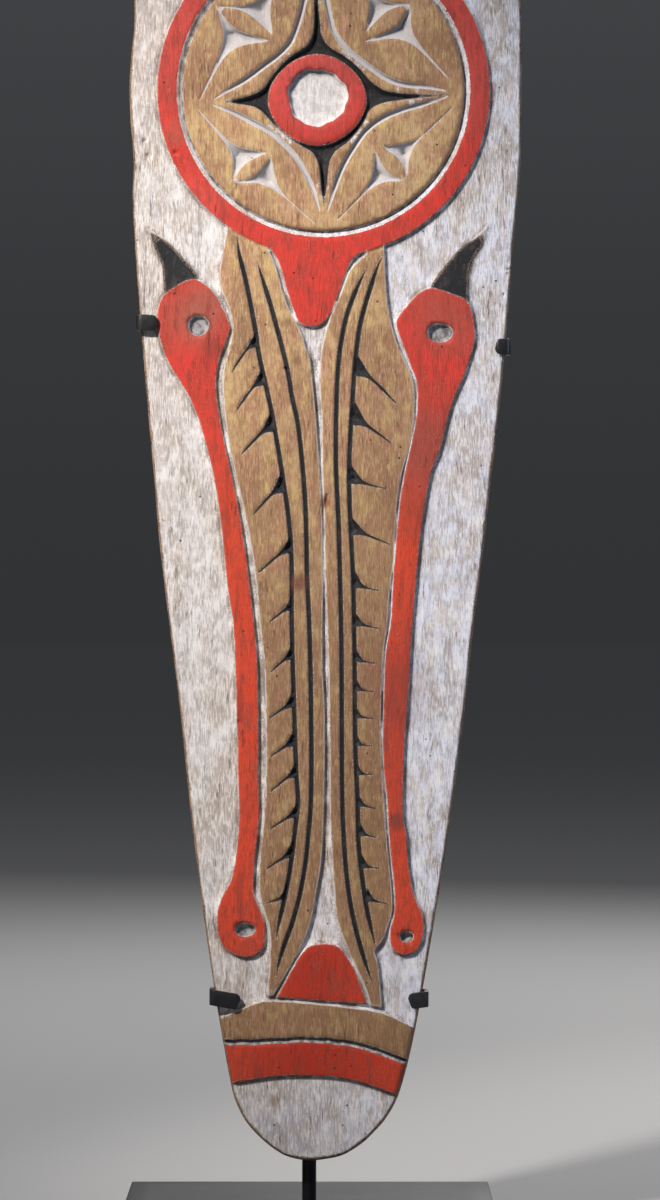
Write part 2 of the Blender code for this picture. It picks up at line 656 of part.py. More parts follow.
def make_cradle(name, drop, rises, reaches, parts, cutters):
    """Bend one cradle from flat strip, to fit the board's edges at its height."""
    outline = board_outline()
    lowest = len(outline) // 2
    board_sides = (outline[lowest:] + outline[:1], outline[:lowest + 1])
    middle = Vector((post_line(-drop), -drop, 0))
    arms = []
    edges = []
    tips = []
    levels = []
    for side, board_side, rise, reach in zip((-1, 1), board_sides, rises, reaches):
        run = abs(crossing(board_side, -drop))
        height = -drop + math.tan(rise) * run
        edge = crossing(board_side, height + STRIP_WIDTH * CRADLE_FIT) + side * FIT_GAP
        arms.append(Vector((edge, height, 0)))
        edges.append(edge)
        tips.append(edge - side * reach)
        levels.append(front_level(tips[-1], BOARD_THICKNESS) + FIT_GAP)
    strip = prism(name, cradle_plan(edges, tips, levels), -BOARD_WIDTH, BOARD_WIDTH, parts)
    strip.data.transform(Matrix.Translation((0, -drop, 0)) @ Matrix.Rotation(math.pi / 2, 4, "X"))
    face = prism(f"{name}_face", cradle_face(arms[0], middle, arms[1]), -BOARD_THICKNESS,
                 2 * BOARD_THICKNESS + STRIP_THICKNESS, cutters)
    strip = boolean(strip, "INTERSECT", face)
    round_tips(strip, tips)
    strip.matrix_world = to_world()
    finish(strip, (0.012, 0.013, 0.015), 0.4, 0.2)


def main():
    """Build the whole object."""
    clear_scene()
    parts = new_collection("ceremonial_shield")
    stand_cutters = new_collection("stand_cuts")
    forms, cutters = make_board(parts)
    make_base(parts, stand_cutters)
    make_post(parts)
    make_cradle("upper_cradle", UPPER_CRADLE_DROP, (UPPER_CRADLE_TILT, -UPPER_CRADLE_TILT),
                UPPER_PRONG_REACH, parts, stand_cutters)
    make_cradle("lower_cradle", LOWER_CRADLE_DROP, (LOWER_CRADLE_RISE, LOWER_CRADLE_RISE),
                LOWER_PRONG_REACH, parts, stand_cutters)
    for collection in (forms, cutters, stand_cutters):
        for thing in collection.objects:
            thing.hide_render = True
            thing.display_type = "WIRE"


main()
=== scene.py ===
"""A long carved and painted shield on its steel stand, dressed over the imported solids.

The board is drawn flat in millimetres, x to the right, y up from its middle and z out of its front.
It is carved by depth below that front, and then stood up where its solid stands. The lower half's
forms are drawn, and the upper half repeats them turned over.
"""
import math

import bmesh
import bpy
import numpy as np
from mathutils import Matrix, Vector, kdtree
from mathutils.geometry import delaunay_2d_cdt


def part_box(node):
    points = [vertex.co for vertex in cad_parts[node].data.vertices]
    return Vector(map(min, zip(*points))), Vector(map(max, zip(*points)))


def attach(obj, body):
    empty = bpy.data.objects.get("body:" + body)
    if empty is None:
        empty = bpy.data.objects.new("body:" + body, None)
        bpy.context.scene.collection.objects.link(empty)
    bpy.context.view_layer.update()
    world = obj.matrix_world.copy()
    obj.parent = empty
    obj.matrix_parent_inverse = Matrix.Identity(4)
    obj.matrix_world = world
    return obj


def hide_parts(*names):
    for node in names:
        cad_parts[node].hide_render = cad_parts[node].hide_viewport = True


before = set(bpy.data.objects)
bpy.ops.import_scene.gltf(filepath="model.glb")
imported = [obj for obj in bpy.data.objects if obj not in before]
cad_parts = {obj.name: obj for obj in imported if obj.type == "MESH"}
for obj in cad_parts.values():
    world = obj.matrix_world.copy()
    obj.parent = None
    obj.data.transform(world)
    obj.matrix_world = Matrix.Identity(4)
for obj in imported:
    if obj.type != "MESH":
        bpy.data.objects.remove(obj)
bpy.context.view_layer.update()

MM = 0.001

# The board, in millimetres
THICKNESS = 18.0
HALF_WIDTH = 137.5
HALF_LENGTH = 750.0
SWELL = 5.0
EDGE_ROUND = 5.5
LEAN = math.radians(0.38)
BOARD_PLACE = (0.0068, -0.0088, 0.056)

# The raised forms: their height, the run of their walls and their softened lips
RELIEF = 3.0
WALL_RUN = 1.5
LIP = 0.8
LIP_DROP = 0.22
HORN_DROP = 0.9
HORN_TIP_DROP = 2.2
HORN_TIP_HEIGHT = 95
HORN_LENGTH = 45
HORN_BARE_TIP = 0.26
HORN_PAINT_FADE = 9
HORN_PAINT_SPREAD = 0.45
TAB_OVERLAP = 6
COLLAR_DIP = 1.2
COLLAR_DIP_START = 0.7
COLLAR_DIP_WIDTH = 2.6

# The ring with its field, and the red smear at its right side
RING_CENTRE = (-1.6, 0.0)
RING_RADIUS = 116.6
RING_GROOVE_WIDTH = 4.9
RING_GROOVE_DEPTH = 2.8
RING_GROOVE_INNER, RING_GROOVE_OUTER = 0.3, 0.7
RING_LINE_PLACE = 1.5
RING_LINE_HALF_WIDTH = 0.7
FIELD_RADIUS = 98.0
FIELD_PAINT_SPREAD = 0.8
SMEAR_GAP = 2.0
SMEAR_HALF_WIDTH = 0.8
SMEAR_HALF_LENGTH = 21
SMEAR_DROP = 3

# The star, its lines, the boss with its dish, and the pits
STAR_DEPTH = 3.5
STAR_RUN = 1.2
STAR_LINE_WIDTH = 3.8
STAR_LINE_DEPTH = 2.9
BOSS_CENTRE = (-5.9, -6.9)
BOSS_RADII = (34.8, 32.3)
BOSS_SQUARE = 1.1
BOSS_LIP = 4.5
BOSS_LIP_DROP = 1.2
BOSS_REACH = -0.5
DISH_CENTRE = (-5.8, -5.2)
DISH_RADII = (20.8, 19.8)
DISH_DEPTH = 3.4
DISH_RUN = 1.4
DISH_WAVER = 0.03
PIT_DEPTH = 5.0
PIT_CURVE = 0.85
PIT_WALL_SLOPE = 1.1
PIT_WALL_DEPTH = 1.5
PIT_REACH = 40.0
PIT_BOW = 0.125
PIT_BOW_UPPER = 0.185
PIT_BOW_NEAR = 0.12

# The grooves, the notches, the holes and the chips
STEM_WIDTH = 4.0
STEM_DEPTH = 2.8
STEM_PAINT_INSET = 0.45
BAND_GROOVE_WIDTH = 3.4
BAND_GROOVE_DEPTH = 2.2
BAND_GROOVE_WAVER = 0.5
BAND_LINE_SPREAD = 0.2
BAND_LINE_RISE = 0.3
NOTCH_DEPTH = 3.0
NOTCH_STEEP = 1.8
NOTCH_GENTLE = 1.1
NOTCH_PAINT_SPREAD = 0.25
NOTCH_LINE_HALF_WIDTH = 0.3
NOTCH_LINE_GAP = 0.7
EYE_DEPTH = 4.2
EYE_RUN = 1.1
EYE_WAVER = 0.015
EYE_PAINT_INSET = 0.6
CUT_TAPER = 22.0
TAPER_CURVE = 0.7
CHIP_CURVE = 0.7

# Tool marks: how deep they are, and their length across and along the grain, with their seed
FRONT_MARKS = ((0.10, 9, 60, 3), (0.06, 2.6, 22, 4))
BAND_MARKS = (6, 50, 9)
BACK_MARKS = (17, 34, 12)
BACK_MARK_DEPTH = 0.25
RIM_SOFTENING = 1.0
RIM_CUT_SHARE = 0.35
ON_THE_RIM = 0.05

# The grip on the back: its inner and outer side from the upper foot to the middle, as (y, z)
GRIP_INNER = [(55, 0), (49, -27), (37, -34), (15, -34)]
GRIP_OUTER = [(85, 0), (78, -39), (61, -52), (24, -52)]
GRIP_HALF_WIDTH = 13.0
GRIP_WAIST = 0.9
GRIP_SECTIONS = 41
GRIP_SIDES = 32
GRIP_SQUARE = 0.6

# The stand's post and base, in metres but for the counts of sides
POST_RADIUS = 0.005
POST_SIDES = 48
BASE_BEVEL = 1.5 * MM
BASE_BEVEL_PARTS = 4
BASE_INSET = 20 * MM

# The cradles, in millimetres; each arm gives the board's edge there, its height, its prong's tip
# and the level that the prong lies on
STRIP_WIDTH = 11.0
STRIP_THICKNESS = 3.2
STRIP_EDGE_ROUND = 0.5
STRIP_STEP = 0.9
BEND_RADIUS = 2.2
TIP_ROUND = 3.4
FIT_GAP = 0.3
UPPER_CRADLE = ((-128.76, -163.22, -117.26, 14.66), (-10.64, -171.0), (127.51, -178.78, 120.11, 14.49))
LOWER_CRADLE = ((-74.07, -635.8, -56.27, 17.46), (-7.48, -647.0), (73.0, -636.05, 62.5, 17.27))

# Colours
CHALK = (0.82, 0.79, 0.80)
CHALK_CREAM = (0.79, 0.73, 0.69)
# A bluish tint for the painted cool light on the white's right side
CHALK_COOL_LIGHT = (0.76, 0.81, 1.0)
CHALK_BRIGHT = (0.92, 0.91, 0.93)
CHALK_DIM = (0.62, 0.585, 0.59)
CHALK_TAN = (0.58, 0.49, 0.42)
CHALK_GREY = (0.45, 0.425, 0.45)
CHALK_BROWN = (0.33, 0.265, 0.23)
CUT_WHITE = (0.90, 0.87, 0.87)
CUT_GREY = (0.66, 0.625, 0.64)
# Greys for the painted shade in the recesses and on the walls that face away from the light
SLATE_SHADE = (0.40, 0.39, 0.41)
SHADE_DARK = (0.15, 0.145, 0.155)
GRAIN_DARK = (0.07, 0.045, 0.035)
# Dark brown for grime, and for painted shade at the foot of the walls and on walls that face away from
# the light
GRIME_AND_SHADE = (0.17, 0.125, 0.10)
STAIN = (0.13, 0.075, 0.05)
OCHRE = (0.60, 0.385, 0.20)
OCHRE_LIGHT = (0.80, 0.62, 0.37)
OCHRE_YELLOW = (0.72, 0.53, 0.215)
OCHRE_BROWN = (0.38, 0.215, 0.115)
OCHRE_PINK = (0.56, 0.275, 0.175)
OCHRE_DARK = (0.29, 0.155, 0.085)
# Dark ochre for the painted shade low on the board and on its right side
OCHRE_SHADOW = (0.14, 0.07, 0.035)
RED = (0.74, 0.048, 0.034)
RED_DEEP = (0.63, 0.046, 0.030)
RED_WARM = (0.71, 0.072, 0.024)
RED_PINK = (0.60, 0.10, 0.09)
RED_PALE = (0.74, 0.34, 0.28)
RED_GRIME = (0.36, 0.055, 0.036)
RED_DARK = (0.20, 0.040, 0.028)
BLACK = (0.012, 0.013, 0.017)
BLACK_WORN = (0.055, 0.048, 0.045)
SOOT_EDGE = (0.25, 0.19, 0.15)
RIM_BROWN = (0.32, 0.19, 0.11)
RIM_PALE = (0.55, 0.43, 0.33)
RIM_DARK = (0.11, 0.06, 0.038)
WOOD = (0.27, 0.17, 0.10)
WOOD_DARK = (0.13, 0.075, 0.045)
WOOD_GREY = (0.22, 0.185, 0.155)
STEEL_BLACK = (0.011, 0.012, 0.015)
STEEL_RUBBED = (0.022, 0.023, 0.026)
STEEL_DUST = (0.07, 0.068, 0.065)

# The noises in the paint: size in millimetres, stretch along the grain, detail, roughness, warp
PAINT_NOISES = {"cloud": (34, 1.6, 4, 0.6, 0.0), "patch": (12, 1.7, 4, 0.6, 0.4),
                "other": (8.5, 2.2, 3, 0.6, 0.3), "blot": (4.4, 1.5, 4, 0.62, 0.3),
                "streak": (5.5, 8, 4, 0.62, 0.4), "strand": (2.0, 9, 3, 0.6, 0.2),
                "fibre": (0.8, 8, 3, 0.6, 0.0), "grit": (0.95, 1.2, 2, 0.6, 0.0)}
WOOD_NOISES = {"strand": (3.6, 18, 4, 0.62, 0.3), "grain": (1.3, 16, 3, 0.6, 0.0),
               "patch": (30, 2, 5, 0.6, 0.0)}

# The layers of each paint, laid in turn: a tint, its share and the pattern that it follows, with
# the pattern's value where the layer starts to show and where it shows fully. The layers of a
# ground lie under the broad tints, and those of its wear over them. Among the wear, the layers on
# the walls that face away from the key light, and the ochre's dark layer low down and on the right
# side, are painted shade.
# The white turns bluish towards the board's right side: painted cool light
CHALK_GROUND = ((CHALK_CREAM, 1, "cloud", 0.42, 0.60), (CHALK_COOL_LIGHT, 0.85, "across", -0.03, 0.09))
CHALK_WEAR = ((CHALK_BRIGHT, 0.7, "patch", 0.48, 0.36), (CHALK_DIM, 0.75, "patch", 0.48, 0.66),
              (CHALK_TAN, 0.6, "other", 0.47, 0.66), (CHALK_GREY, 0.4, "blot", 0.48, 0.70),
              (CHALK_GREY, 0.5, "streak", 0.50, 0.68), (CHALK_TAN, 0.4, "cloud", 0.52, 0.64),
              (CHALK_BROWN, 0.46, "strokes"), (CHALK_BRIGHT, 0.6, "bright"),
              (GRAIN_DARK, 0.55, "dark_strokes"), (CHALK_BROWN, 0.3, "freckles"),
              (GRIME_AND_SHADE, 1, "uneven_lee"))
OCHRE_GROUND = ((OCHRE_BROWN, 1, "cloud", 0.42, 0.60),)
# The ochre turns browner towards the bottom; its dark layer low down and on the right side is painted
# shade
OCHRE_WEAR = ((OCHRE_BROWN, 0.8, "height", 0.66, 0.34), (OCHRE_PINK, 0.7, "patch", 0.44, 0.64),
              (OCHRE_YELLOW, 0.6, "other", 0.52, 0.34), (OCHRE_BROWN, 0.5, "blot", 0.46, 0.66),
              (OCHRE_DARK, 0.4, "streak", 0.50, 0.66), (OCHRE_DARK, 0.5, "strokes"),
              (OCHRE_LIGHT, 0.26, "bright"), (STAIN, 0.6, "dark_strokes"),
              (OCHRE_SHADOW, 1, "shade"), (OCHRE_DARK, 0.3, "freckles"), (OCHRE_DARK, 0.7, "lee"),
              (CHALK_CREAM, 0.65, "arris"))
RED_GROUND = ((RED_DEEP, 1, "patch", 0.40, 0.62), (RED_WARM, 0.8, "height", 0.62, 0.50),
              (RED_PINK, 0.5, "height", 0.775, 0.82))
RED_WEAR = ((RED_DARK, 0.3, "strokes"), (RED_GRIME, 0.4, "blot", 0.48, 0.66),
            (RED_GRIME, 0.5, "other", 0.52, 0.66), (RED_DARK, 0.5, "lee"),
            (RED_PALE, 0.16, "freckles"), (RED_DARK, 0.4, "streak", 0.54, 0.66),
            (RED_DARK, 0.6, "dark_strokes"), (RED_PALE, 0.6, "scuff"))
SOOT_WEAR = ((BLACK_WORN, 1, "blot", 0.50, 0.72), (BLACK_WORN, 0.6, "freckles"),
             (SOOT_EDGE, 1, "rubbed"))
CUT_WEAR = ((CUT_WHITE, 1, "from_dish", 0.026, 0.020), (CHALK_DIM, 0.7, "blot", 0.42, 0.62),
            (CHALK_GREY, 0.4, "strokes"), (CHALK_GREY, 0.3, "grit", 0.52, 0.64),
            (SHADE_DARK, 0.72, "lee"))
SHADE_WEAR = ((SHADE_DARK, 1, "blot", 0.40, 0.60),)
RIM_WEAR = ((RIM_DARK, 1, "strand", 0.4, 0.6), (RIM_PALE, 0.6, "grit", 0.50, 0.62))
WOOD_WEAR = ((WOOD_DARK, 1, "strand", 0.35, 0.68), (WOOD_GREY, 0.6, "patch", 0.45, 0.7),
             (GRAIN_DARK, 0.7, "grain", 0.54, 0.68))
STEEL_WEAR = ((STEEL_RUBBED, 1, "cloud", 0.4, 0.7), (STEEL_DUST, 0.3, "fine", 0.62, 0.72))

# Stains on the front: place, radius, strength and colour
STAINS = [(-16.1, -344.8, 9, 0.75, (0.17, 0.055, 0.035)), (-31.6, -708, 6, 0.6, (0.20, 0.12, 0.08)),
          (53.5, -512, 9, 0.6, (0.15, 0.05, 0.04)), (114, -97, 5, 0.6, (0.12, 0.06, 0.035)),
          (118, -106, 4, 0.6, (0.25, 0.13, 0.07)), (109, 54.9, 6, 0.6, (0.17, 0.11, 0.08)),
          (118.1, -102.5, 3, 0.4, (0.2, 0.12, 0.08)), (-26, -163, 5, 0.5, (0.15, 0.05, 0.03)),
          (-19, -190, 5, 0.45, (0.17, 0.06, 0.04)), (1.5, -289, 6, 0.6, (0.20, 0.06, 0.03)),
          (60, -300, 26, 0.25, (0.22, 0.05, 0.035)), (52, -420, 34, 0.3, (0.20, 0.05, 0.04)),
          (-24, 7, 4, 0.7, (0.15, 0.06, 0.04)), (-17, 12, 3, 0.6, (0.18, 0.07, 0.05)),
          (-128, -12, 5, 0.5, (0.28, 0.19, 0.14)), (126, -60, 7, 0.45, (0.30, 0.21, 0.16)),
          (122, -182, 8, 0.35, (0.34, 0.26, 0.21)), (-103, -30, 14, 0.25, (0.30, 0.17, 0.11)),
          (76, -122, 12, 0.25, (0.30, 0.19, 0.13)), (-120.5, -101.5, 5, 0.7, (0.26, 0.16, 0.11)),
          (112.5, -97.5, 5, 0.7, (0.28, 0.16, 0.10))]
# How far a stain and a broad tint reach, as shares of their radius: outer and inner
STAIN_REACH = (1.5, 0.8)
TINT_REACH = (1.7, 0.6)

# Broad tints in each paint, written the same way. The white's bluish tint on the right side is painted
# cool light, and the tint at its lower tip makes the white darker and bluer there
CHALK_PATCHES = [(-128, 30, 60, 0.75, (0.74, 0.61, 0.52)), (-128, -190, 45, 0.45, (0.66, 0.54, 0.48)),
                 (-100, -500, 60, 0.3, (0.72, 0.64, 0.58)), (120, -330, 110, 0.6, (0.76, 0.79, 0.95)),
                 (-20, -728, 46, 0.7, (0.47, 0.455, 0.52)), (-90, -620, 30, 0.4, (0.60, 0.52, 0.46)),
                 (-122, -70, 24, 0.45, (0.62, 0.54, 0.47)), (66, -110, 22, 0.4, (0.56, 0.52, 0.50))]
OCHRE_PATCHES = [(-60, 55, 50, 0.55, (0.38, 0.23, 0.135)), (50, 62, 44, 0.35, (0.48, 0.31, 0.19)),
                 (62, -52, 44, 0.5, (0.74, 0.54, 0.31)), (-66, -44, 40, 0.35, (0.68, 0.49, 0.26)),
                 (-30, -78, 26, 0.4, (0.66, 0.38, 0.25)), (40, -230, 60, 0.5, (0.42, 0.25, 0.15)),
                 (20, -480, 130, 0.6, (0.32, 0.185, 0.11)), (0, -670, 80, 0.65, (0.34, 0.195, 0.10)),
                 (-20, -330, 50, 0.4, (0.38, 0.215, 0.125)), (-2, -250, 34, 0.4, (0.40, 0.22, 0.13))]
RED_PATCHES = [(-88, -158, 32, 0.85, (0.38, 0.125, 0.085)), (84, -160, 32, 0.75, (0.42, 0.085, 0.06)),
               (72, -250, 50, 0.75, (0.30, 0.075, 0.055)), (52, -440, 90, 0.5, (0.42, 0.05, 0.03)),
               (118, -8, 40, 0.5, (0.46, 0.07, 0.06)), (-86, -78, 26, 0.5, (0.80, 0.10, 0.08)),
               (0, -615, 40, 0.8, (0.46, 0.024, 0.010)), (0, -675, 70, 0.8, (0.46, 0.024, 0.008)),
               (-6, -6, 34, 0.6, (0.58, 0.10, 0.105)), (-6, -40, 14, 0.4, (0.40, 0.05, 0.05))]

# Painted shade: the way that the walls face which are darkened as if in shade, right and down, away
# from the key light
SHADE_SIDE_FACING = (0.64, 0.0, -0.77)

# How finely the lines are divided, and how far from them the surface is followed closely
STEP = 1.6
UPPER_STEP = 2.6
FINE_STEP = 1.2
HALVES = ((1, STEP), (-1, UPPER_STEP))
SPLINE_PARTS = 12
CLOSE = 0.6
CLOSE_SHARE = 0.8
REACH = 6.0
FOLD_SLACK = 0.12
# How much is measured at once, to save memory
CHUNK = 2000000
PIECE = 40
# Keep sums from dividing by nothing
TINY = 1e-12
SHORTEST = 1e-9
WELD = 1e-4
# Grids of points between the lines: spacing, and how near and far from the lines each is used
GRIDS = ((2.6, 1.9, 6.0), (4.2, 6.0, 12.0), (7.0, 12.0, 200.0))
BACK_GRID = 7.0
BACK_CLOSE = 1.2
# Rows of points beside the lines: how far to the right of each line they lie
RIM_ROWS = (-0.5, -1.4, -2.7, -4.2, -5.7)
BACK_RIM_ROWS = (-0.8, -2.0, -3.7, -5.8)
FORM_ROWS = (0.7, WALL_RUN, -LIP)
RING_ROWS = (0.15, 0.55, 0.8)
BOSS_ROWS = (STAR_RUN, -LIP, -BOSS_LIP / 2, -BOSS_LIP)
DISH_ROWS = (-DISH_RUN / 2, -DISH_RUN)
STAR_LINE_ROWS = (1.9, -1.9, 0.95, -0.95)
PIT_ROWS = (0.8, -0.8, 1.7, -1.7)
STEM_ROWS = (2.0, -2.0, 2.7, -2.7)
BAND_GROOVE_ROWS = (1.7, -1.7)
EYE_ROWS = (-1.0,)
# The uneven edge of an oval: how many waves, their size and their shift
WAVES = ((3, 1.0, 1), (7, 0.7, 0), (13, 0.5, 2))

# The stage and its light, in metres and degrees
FLOOR = (0.40, 0.40, 0.405)
FLOOR_REACH = 40.0
FLOOR_ROUGHNESS = 0.9
SKY_TINT = (0.9, 0.93, 1.0, 1)
SKY_LOW = 0.036
SKY_HIGH = 0.085
SKY_RISE = 0.3
CAMERA_PLACE = (0.0147, -3.027, 0.449)
CAMERA_LENS = 128.6
CAMERA_SENSOR = 36
# Lamps: name, place, the point that each faces, size, power, colour and how wide it spreads
KEY_COLOUR = (1.0, 0.93, 0.86)
SPOTS = (("key", (-1.12, -1.45, 1.80), (-0.02, 0, 0.48), 0.10, 255, KEY_COLOUR, 25.5),
         ("key_upper", (-1.12, -1.45, 2.48), (0, 0, 1.26), 0.10, 101, KEY_COLOUR, 29))
SOFT_LIGHTS = (("fill_right", (2.0, -0.7, 0.9), (0, 0, 0.75), 0.7, 1.8, (0.50, 0.70, 1.0), 70),
               ("fill_back", (0.8, 2.4, 2.2), (0, 0, 0.8), 1.6, 60, (1.0, 0.98, 0.96), 180),
               ("overhead", (0, 0.9, 4.5), (0, 0.9, 0), 3.0, 45, (1.0, 0.99, 0.98), 180))

# The lower half's forms; each is one closed curve, or stretches that meet in corners
LEFT_CLUB = [[(-93.2, -132.7), (-104, -137.5), (-112.3, -143.8), (-116.7, -154.3),
    (-117.1, -163.4), (-114.3, -177.4), (-108.9, -191.2), (-94.3, -215.2), (-87.2, -232),
    (-80.1, -256.6), (-75.8, -274.8), (-72.1, -298.5), (-65.4, -355.2), (-62.5, -372),
    (-60.1, -414.8), (-59.5, -438.5), (-58.4, -459.5), (-58.3, -479.1), (-57.5, -498),
    (-57.4, -514.1), (-60.4, -544.2), (-63, -554.8), (-68.3, -564.5), (-71.4, -572.9),
    (-72.3, -583.8), (-71.3, -592.3), (-68, -599.8), (-62.7, -604.1), (-54, -607.1),
    (-46.6, -606.3), (-40.2, -600.9), (-38.7, -592.3), (-39.2, -583.8), (-41.4, -576.2),
    (-44.7, -568.8), (-46.9, -562.4), (-46.9, -551.2), (-46.5, -540.8), (-43.4, -508.5),
    (-44.2, -479.1), (-44.1, -459.5), (-45.9, -393), (-48.1, -372), (-57.7, -301.7),
    (-72.5, -232), (-75.5, -208.2), (-75.3, -199.1), (-74.2, -191.2), (-68, -173.9),
    (-66, -166.9), (-68.1, -159.9), (-71.7, -151.9), (-77, -142.9), (-86.1, -134.8)]]
RIGHT_CLUB = [[(77.2, -138), (88.8, -141.6), (100.5, -147.3), (105.5, -168.8), (104.8, -177.4),
    (101.5, -188.6), (97.4, -201), (91.8, -213.5), (86.8, -229.2), (81.6, -250.9),
    (75.4, -267.4), (71.9, -285.6), (68.7, -306.9), (63.3, -372), (61.9, -393), (61, -414.8),
    (58, -457.4), (57.8, -511.3), (59.5, -519), (60.6, -535.6), (62.9, -551.6), (65.7, -564.5),
    (71.1, -576.2), (72.4, -585.9), (70.6, -596.8), (65.7, -603), (58.4, -605), (52, -602),
    (49.3, -596.8), (49.2, -586.9), (51.8, -577.1), (52.1, -564.5), (47.6, -519.5),
    (46.5, -498), (44.2, -479.1), (43, -457.8), (43.4, -436.4), (44.7, -393), (48.1, -372),
    (49.3, -344.8), (54.2, -285.6), (57.2, -267.4), (64.9, -229.2), (65.7, -217.1),
    (65.2, -205.4), (62.3, -196.3), (51.6, -167.6), (50.6, -161.7), (56.8, -151.9),
    (64.8, -142.9), (72.8, -138.2)]]
TAB = [[(-37.9, -111.6), (-32.7, -119.3), (-24.8, -144.5), (-20.5, -156.4), (-17.2, -162.8),
    (-10.3, -165.5), (-1.7, -163.4), (3.3, -157.6), (7.4, -149.1), (14.1, -129.6),
    (17.5, -121.1), (22.6, -115.1), (31.7, -110.2), (58.9, -99.8)],
    [(58.9, -99.8), (45.5, -88.5), (-28, -92), (-37.9, -111.6)]]
LEFT_LEAF = [[(-67.8, -96.2), (-73.4, -127), (-72.9, -137.2), (-65.3, -156.4),
    (-63.9, -166.9), (-65.9, -179.5), (-68.7, -190.8), (-70.6, -205.1), (-69.8, -218),
    (-68.5, -232), (-65, -253), (-53.9, -300.6), (-49.5, -323), (-46.2, -344.8),
    (-43.8, -372), (-40.6, -398.6), (-39.2, -425.2), (-38.9, -498), (-41.2, -524.6),
    (-42.6, -562.4), (-35.9, -585.5), (-34.8, -599.5), (-36.3, -634.5)],
    [(-36.3, -634.5), (-32.5, -633.8)],
    [(-32.5, -633.8), (-13.4, -599.5), (-7.2, -583.8), (-3.2, -562.4), (0.2, -540.8),
    (1.4, -519), (2, -498), (2, -436.4), (0.3, -404.2), (0.1, -371.3), (0.3, -349.6),
    (-0.3, -317.4), (-1.5, -285.2), (-5.3, -232), (-8.5, -200.5), (-10.2, -187.9),
    (-12.9, -181.3), (-15.5, -171.8), (-25.8, -151.5), (-34.5, -123.5), (-37.9, -115.1)],
    [(-37.9, -115.1), (-44, -104.6), (-67.8, -96.2)]]
RIGHT_LEAF = [[(41.2, -106), (43, -137.2), (44.4, -150.1), (47.4, -165.2), (51, -177.1),
    (60.9, -199.1), (63.1, -209.3), (63.5, -222.2), (63.1, -232), (60.4, -248.1),
    (55.1, -267.4), (52.1, -285.6), (50.5, -306.9), (49.6, -328.6), (46.6, -355.2),
    (45.6, -372), (43.1, -393), (41.7, -420.3), (41.3, -441.7), (42, -463), (43.2, -484.7),
    (46.1, -524.6), (50, -562.4), (50.1, -575), (46.5, -586.9), (42.3, -596.8),
    (38, -602.3), (40.3, -610.8), (43.5, -641.5)],
    [(43.5, -641.5), (35.6, -640.6)],
    [(35.6, -640.6), (32.3, -629.6), (17.6, -596.8), (12.2, -581.3), (9.9, -562.4),
    (7, -519.5), (6.2, -498), (6, -468.6), (4.6, -404.2), (2, -339.1), (1.2, -306.9),
    (-0.6, -264.2), (-1.1, -232), (-2.7, -209.3), (-2.4, -192.1), (-1.2, -179.5),
    (1.3, -169.5), (5, -157.6), (10.2, -145.7), (15, -133), (19.2, -124.2), (28.5, -115.8)],
    [(28.5, -115.8), (33, -104.6), (41.2, -106)]]
LEFT_HORN = [[(-124.2, -97.4), (-118.3, -112.3), (-113.9, -122.1), (-112.8, -130.5),
    (-112, -145.2)],
    [(-112, -145.2), (-102.5, -138.9), (-89.6, -135.4)],
    [(-89.6, -135.4), (-89.7, -130.4), (-98.6, -119.7), (-108.6, -108.8), (-124.2, -97.4)]]
RIGHT_HORN = [[(114.4, -93.4), (110, -107.4), (104.8, -115.1), (101.1, -124.9),
    (100.4, -136.8), (100.5, -149.4)],
    [(100.5, -149.4), (89.3, -143.1), (75, -139.6)],
    [(75, -139.6), (75, -136.8), (80.8, -127.7), (87.7, -118.6), (96.8, -108.8),
    (105.6, -102.5), (114.4, -93.4)]]
DOME = [[(-30, -635.2), (-12.3, -604.1), (-7.1, -599.5), (3.7, -597.7), (12.5, -599.5),
    (17.7, -605.1), (23.1, -613.5), (28.5, -626.8), (32.9, -639.4)],
    [(32.9, -639.4), (-30, -635.2)]]
BAND = [[(-80.3, -653.4), (-68.4, -649.8), (-56.5, -644.3), (-41.9, -638.8), (-27.9, -638),
    (27.2, -642.9), (43.6, -645.8), (55.9, -650.6), (77.3, -663.2)],
    [(77.3, -663.2), (69.2, -708.8)],
    [(69.2, -708.8), (55.7, -703.6), (27.5, -693.8), (8.9, -690.5), (-10, -689.8),
    (-30.3, -690.5), (-61.2, -695.4), (-75.1, -696.8)],
    [(-75.1, -696.8), (-80.3, -653.4)]]
BAND_GROOVE = [(-78.1, -667.4), (-48, -666.9), (-10.2, -665), (8.7, -665.9), (27.3, -668.7),
    (42.4, -673), (55, -677.9), (63.1, -680.8), (73.9, -684.9)]
LEFT_STEM = [(-61.7, -100.4), (-60, -114.4), (-55.7, -131.2), (-51.4, -151.5),
    (-47.7, -171.1), (-45.9, -183.8), (-39.1, -213.6), (-35.2, -232), (-27.4, -276.8),
    (-23.8, -301.7), (-21.8, -330), (-21.4, -371.3), (-20, -414.8), (-17.4, -479.1),
    (-16.2, -498), (-18.2, -519.5), (-21.5, -546.3), (-25.5, -567.7), (-29.6, -586.9),
    (-31.1, -596.8)]
LEFT_VEIN = [(-47.7, -119.3), (-36.6, -154.3), (-25.5, -196.3), (-22, -215.9), (-18.3, -232),
    (-15, -258.6), (-12.7, -285.2), (-11.5, -312.5), (-10.9, -339.1), (-9, -376.9),
    (-7.6, -425.2), (-7.1, -498), (-8.6, -519.5), (-10.6, -540.8), (-14.7, -564.5),
    (-19.8, -583.8), (-25.3, -599.5), (-29.4, -613.5), (-30.8, -622.4)]
RIGHT_VEIN = [(30.3, -122.8), (25.2, -133), (19.3, -147.3), (15.2, -159.9), (10.5, -187.9),
    (8.7, -232), (9, -264.2), (10.9, -301.7), (12.2, -339.1), (13.6, -393), (14.9, -498),
    (16.2, -524.6), (18.5, -551.6), (22.8, -578.5), (29.3, -603), (37.2, -626.6)]
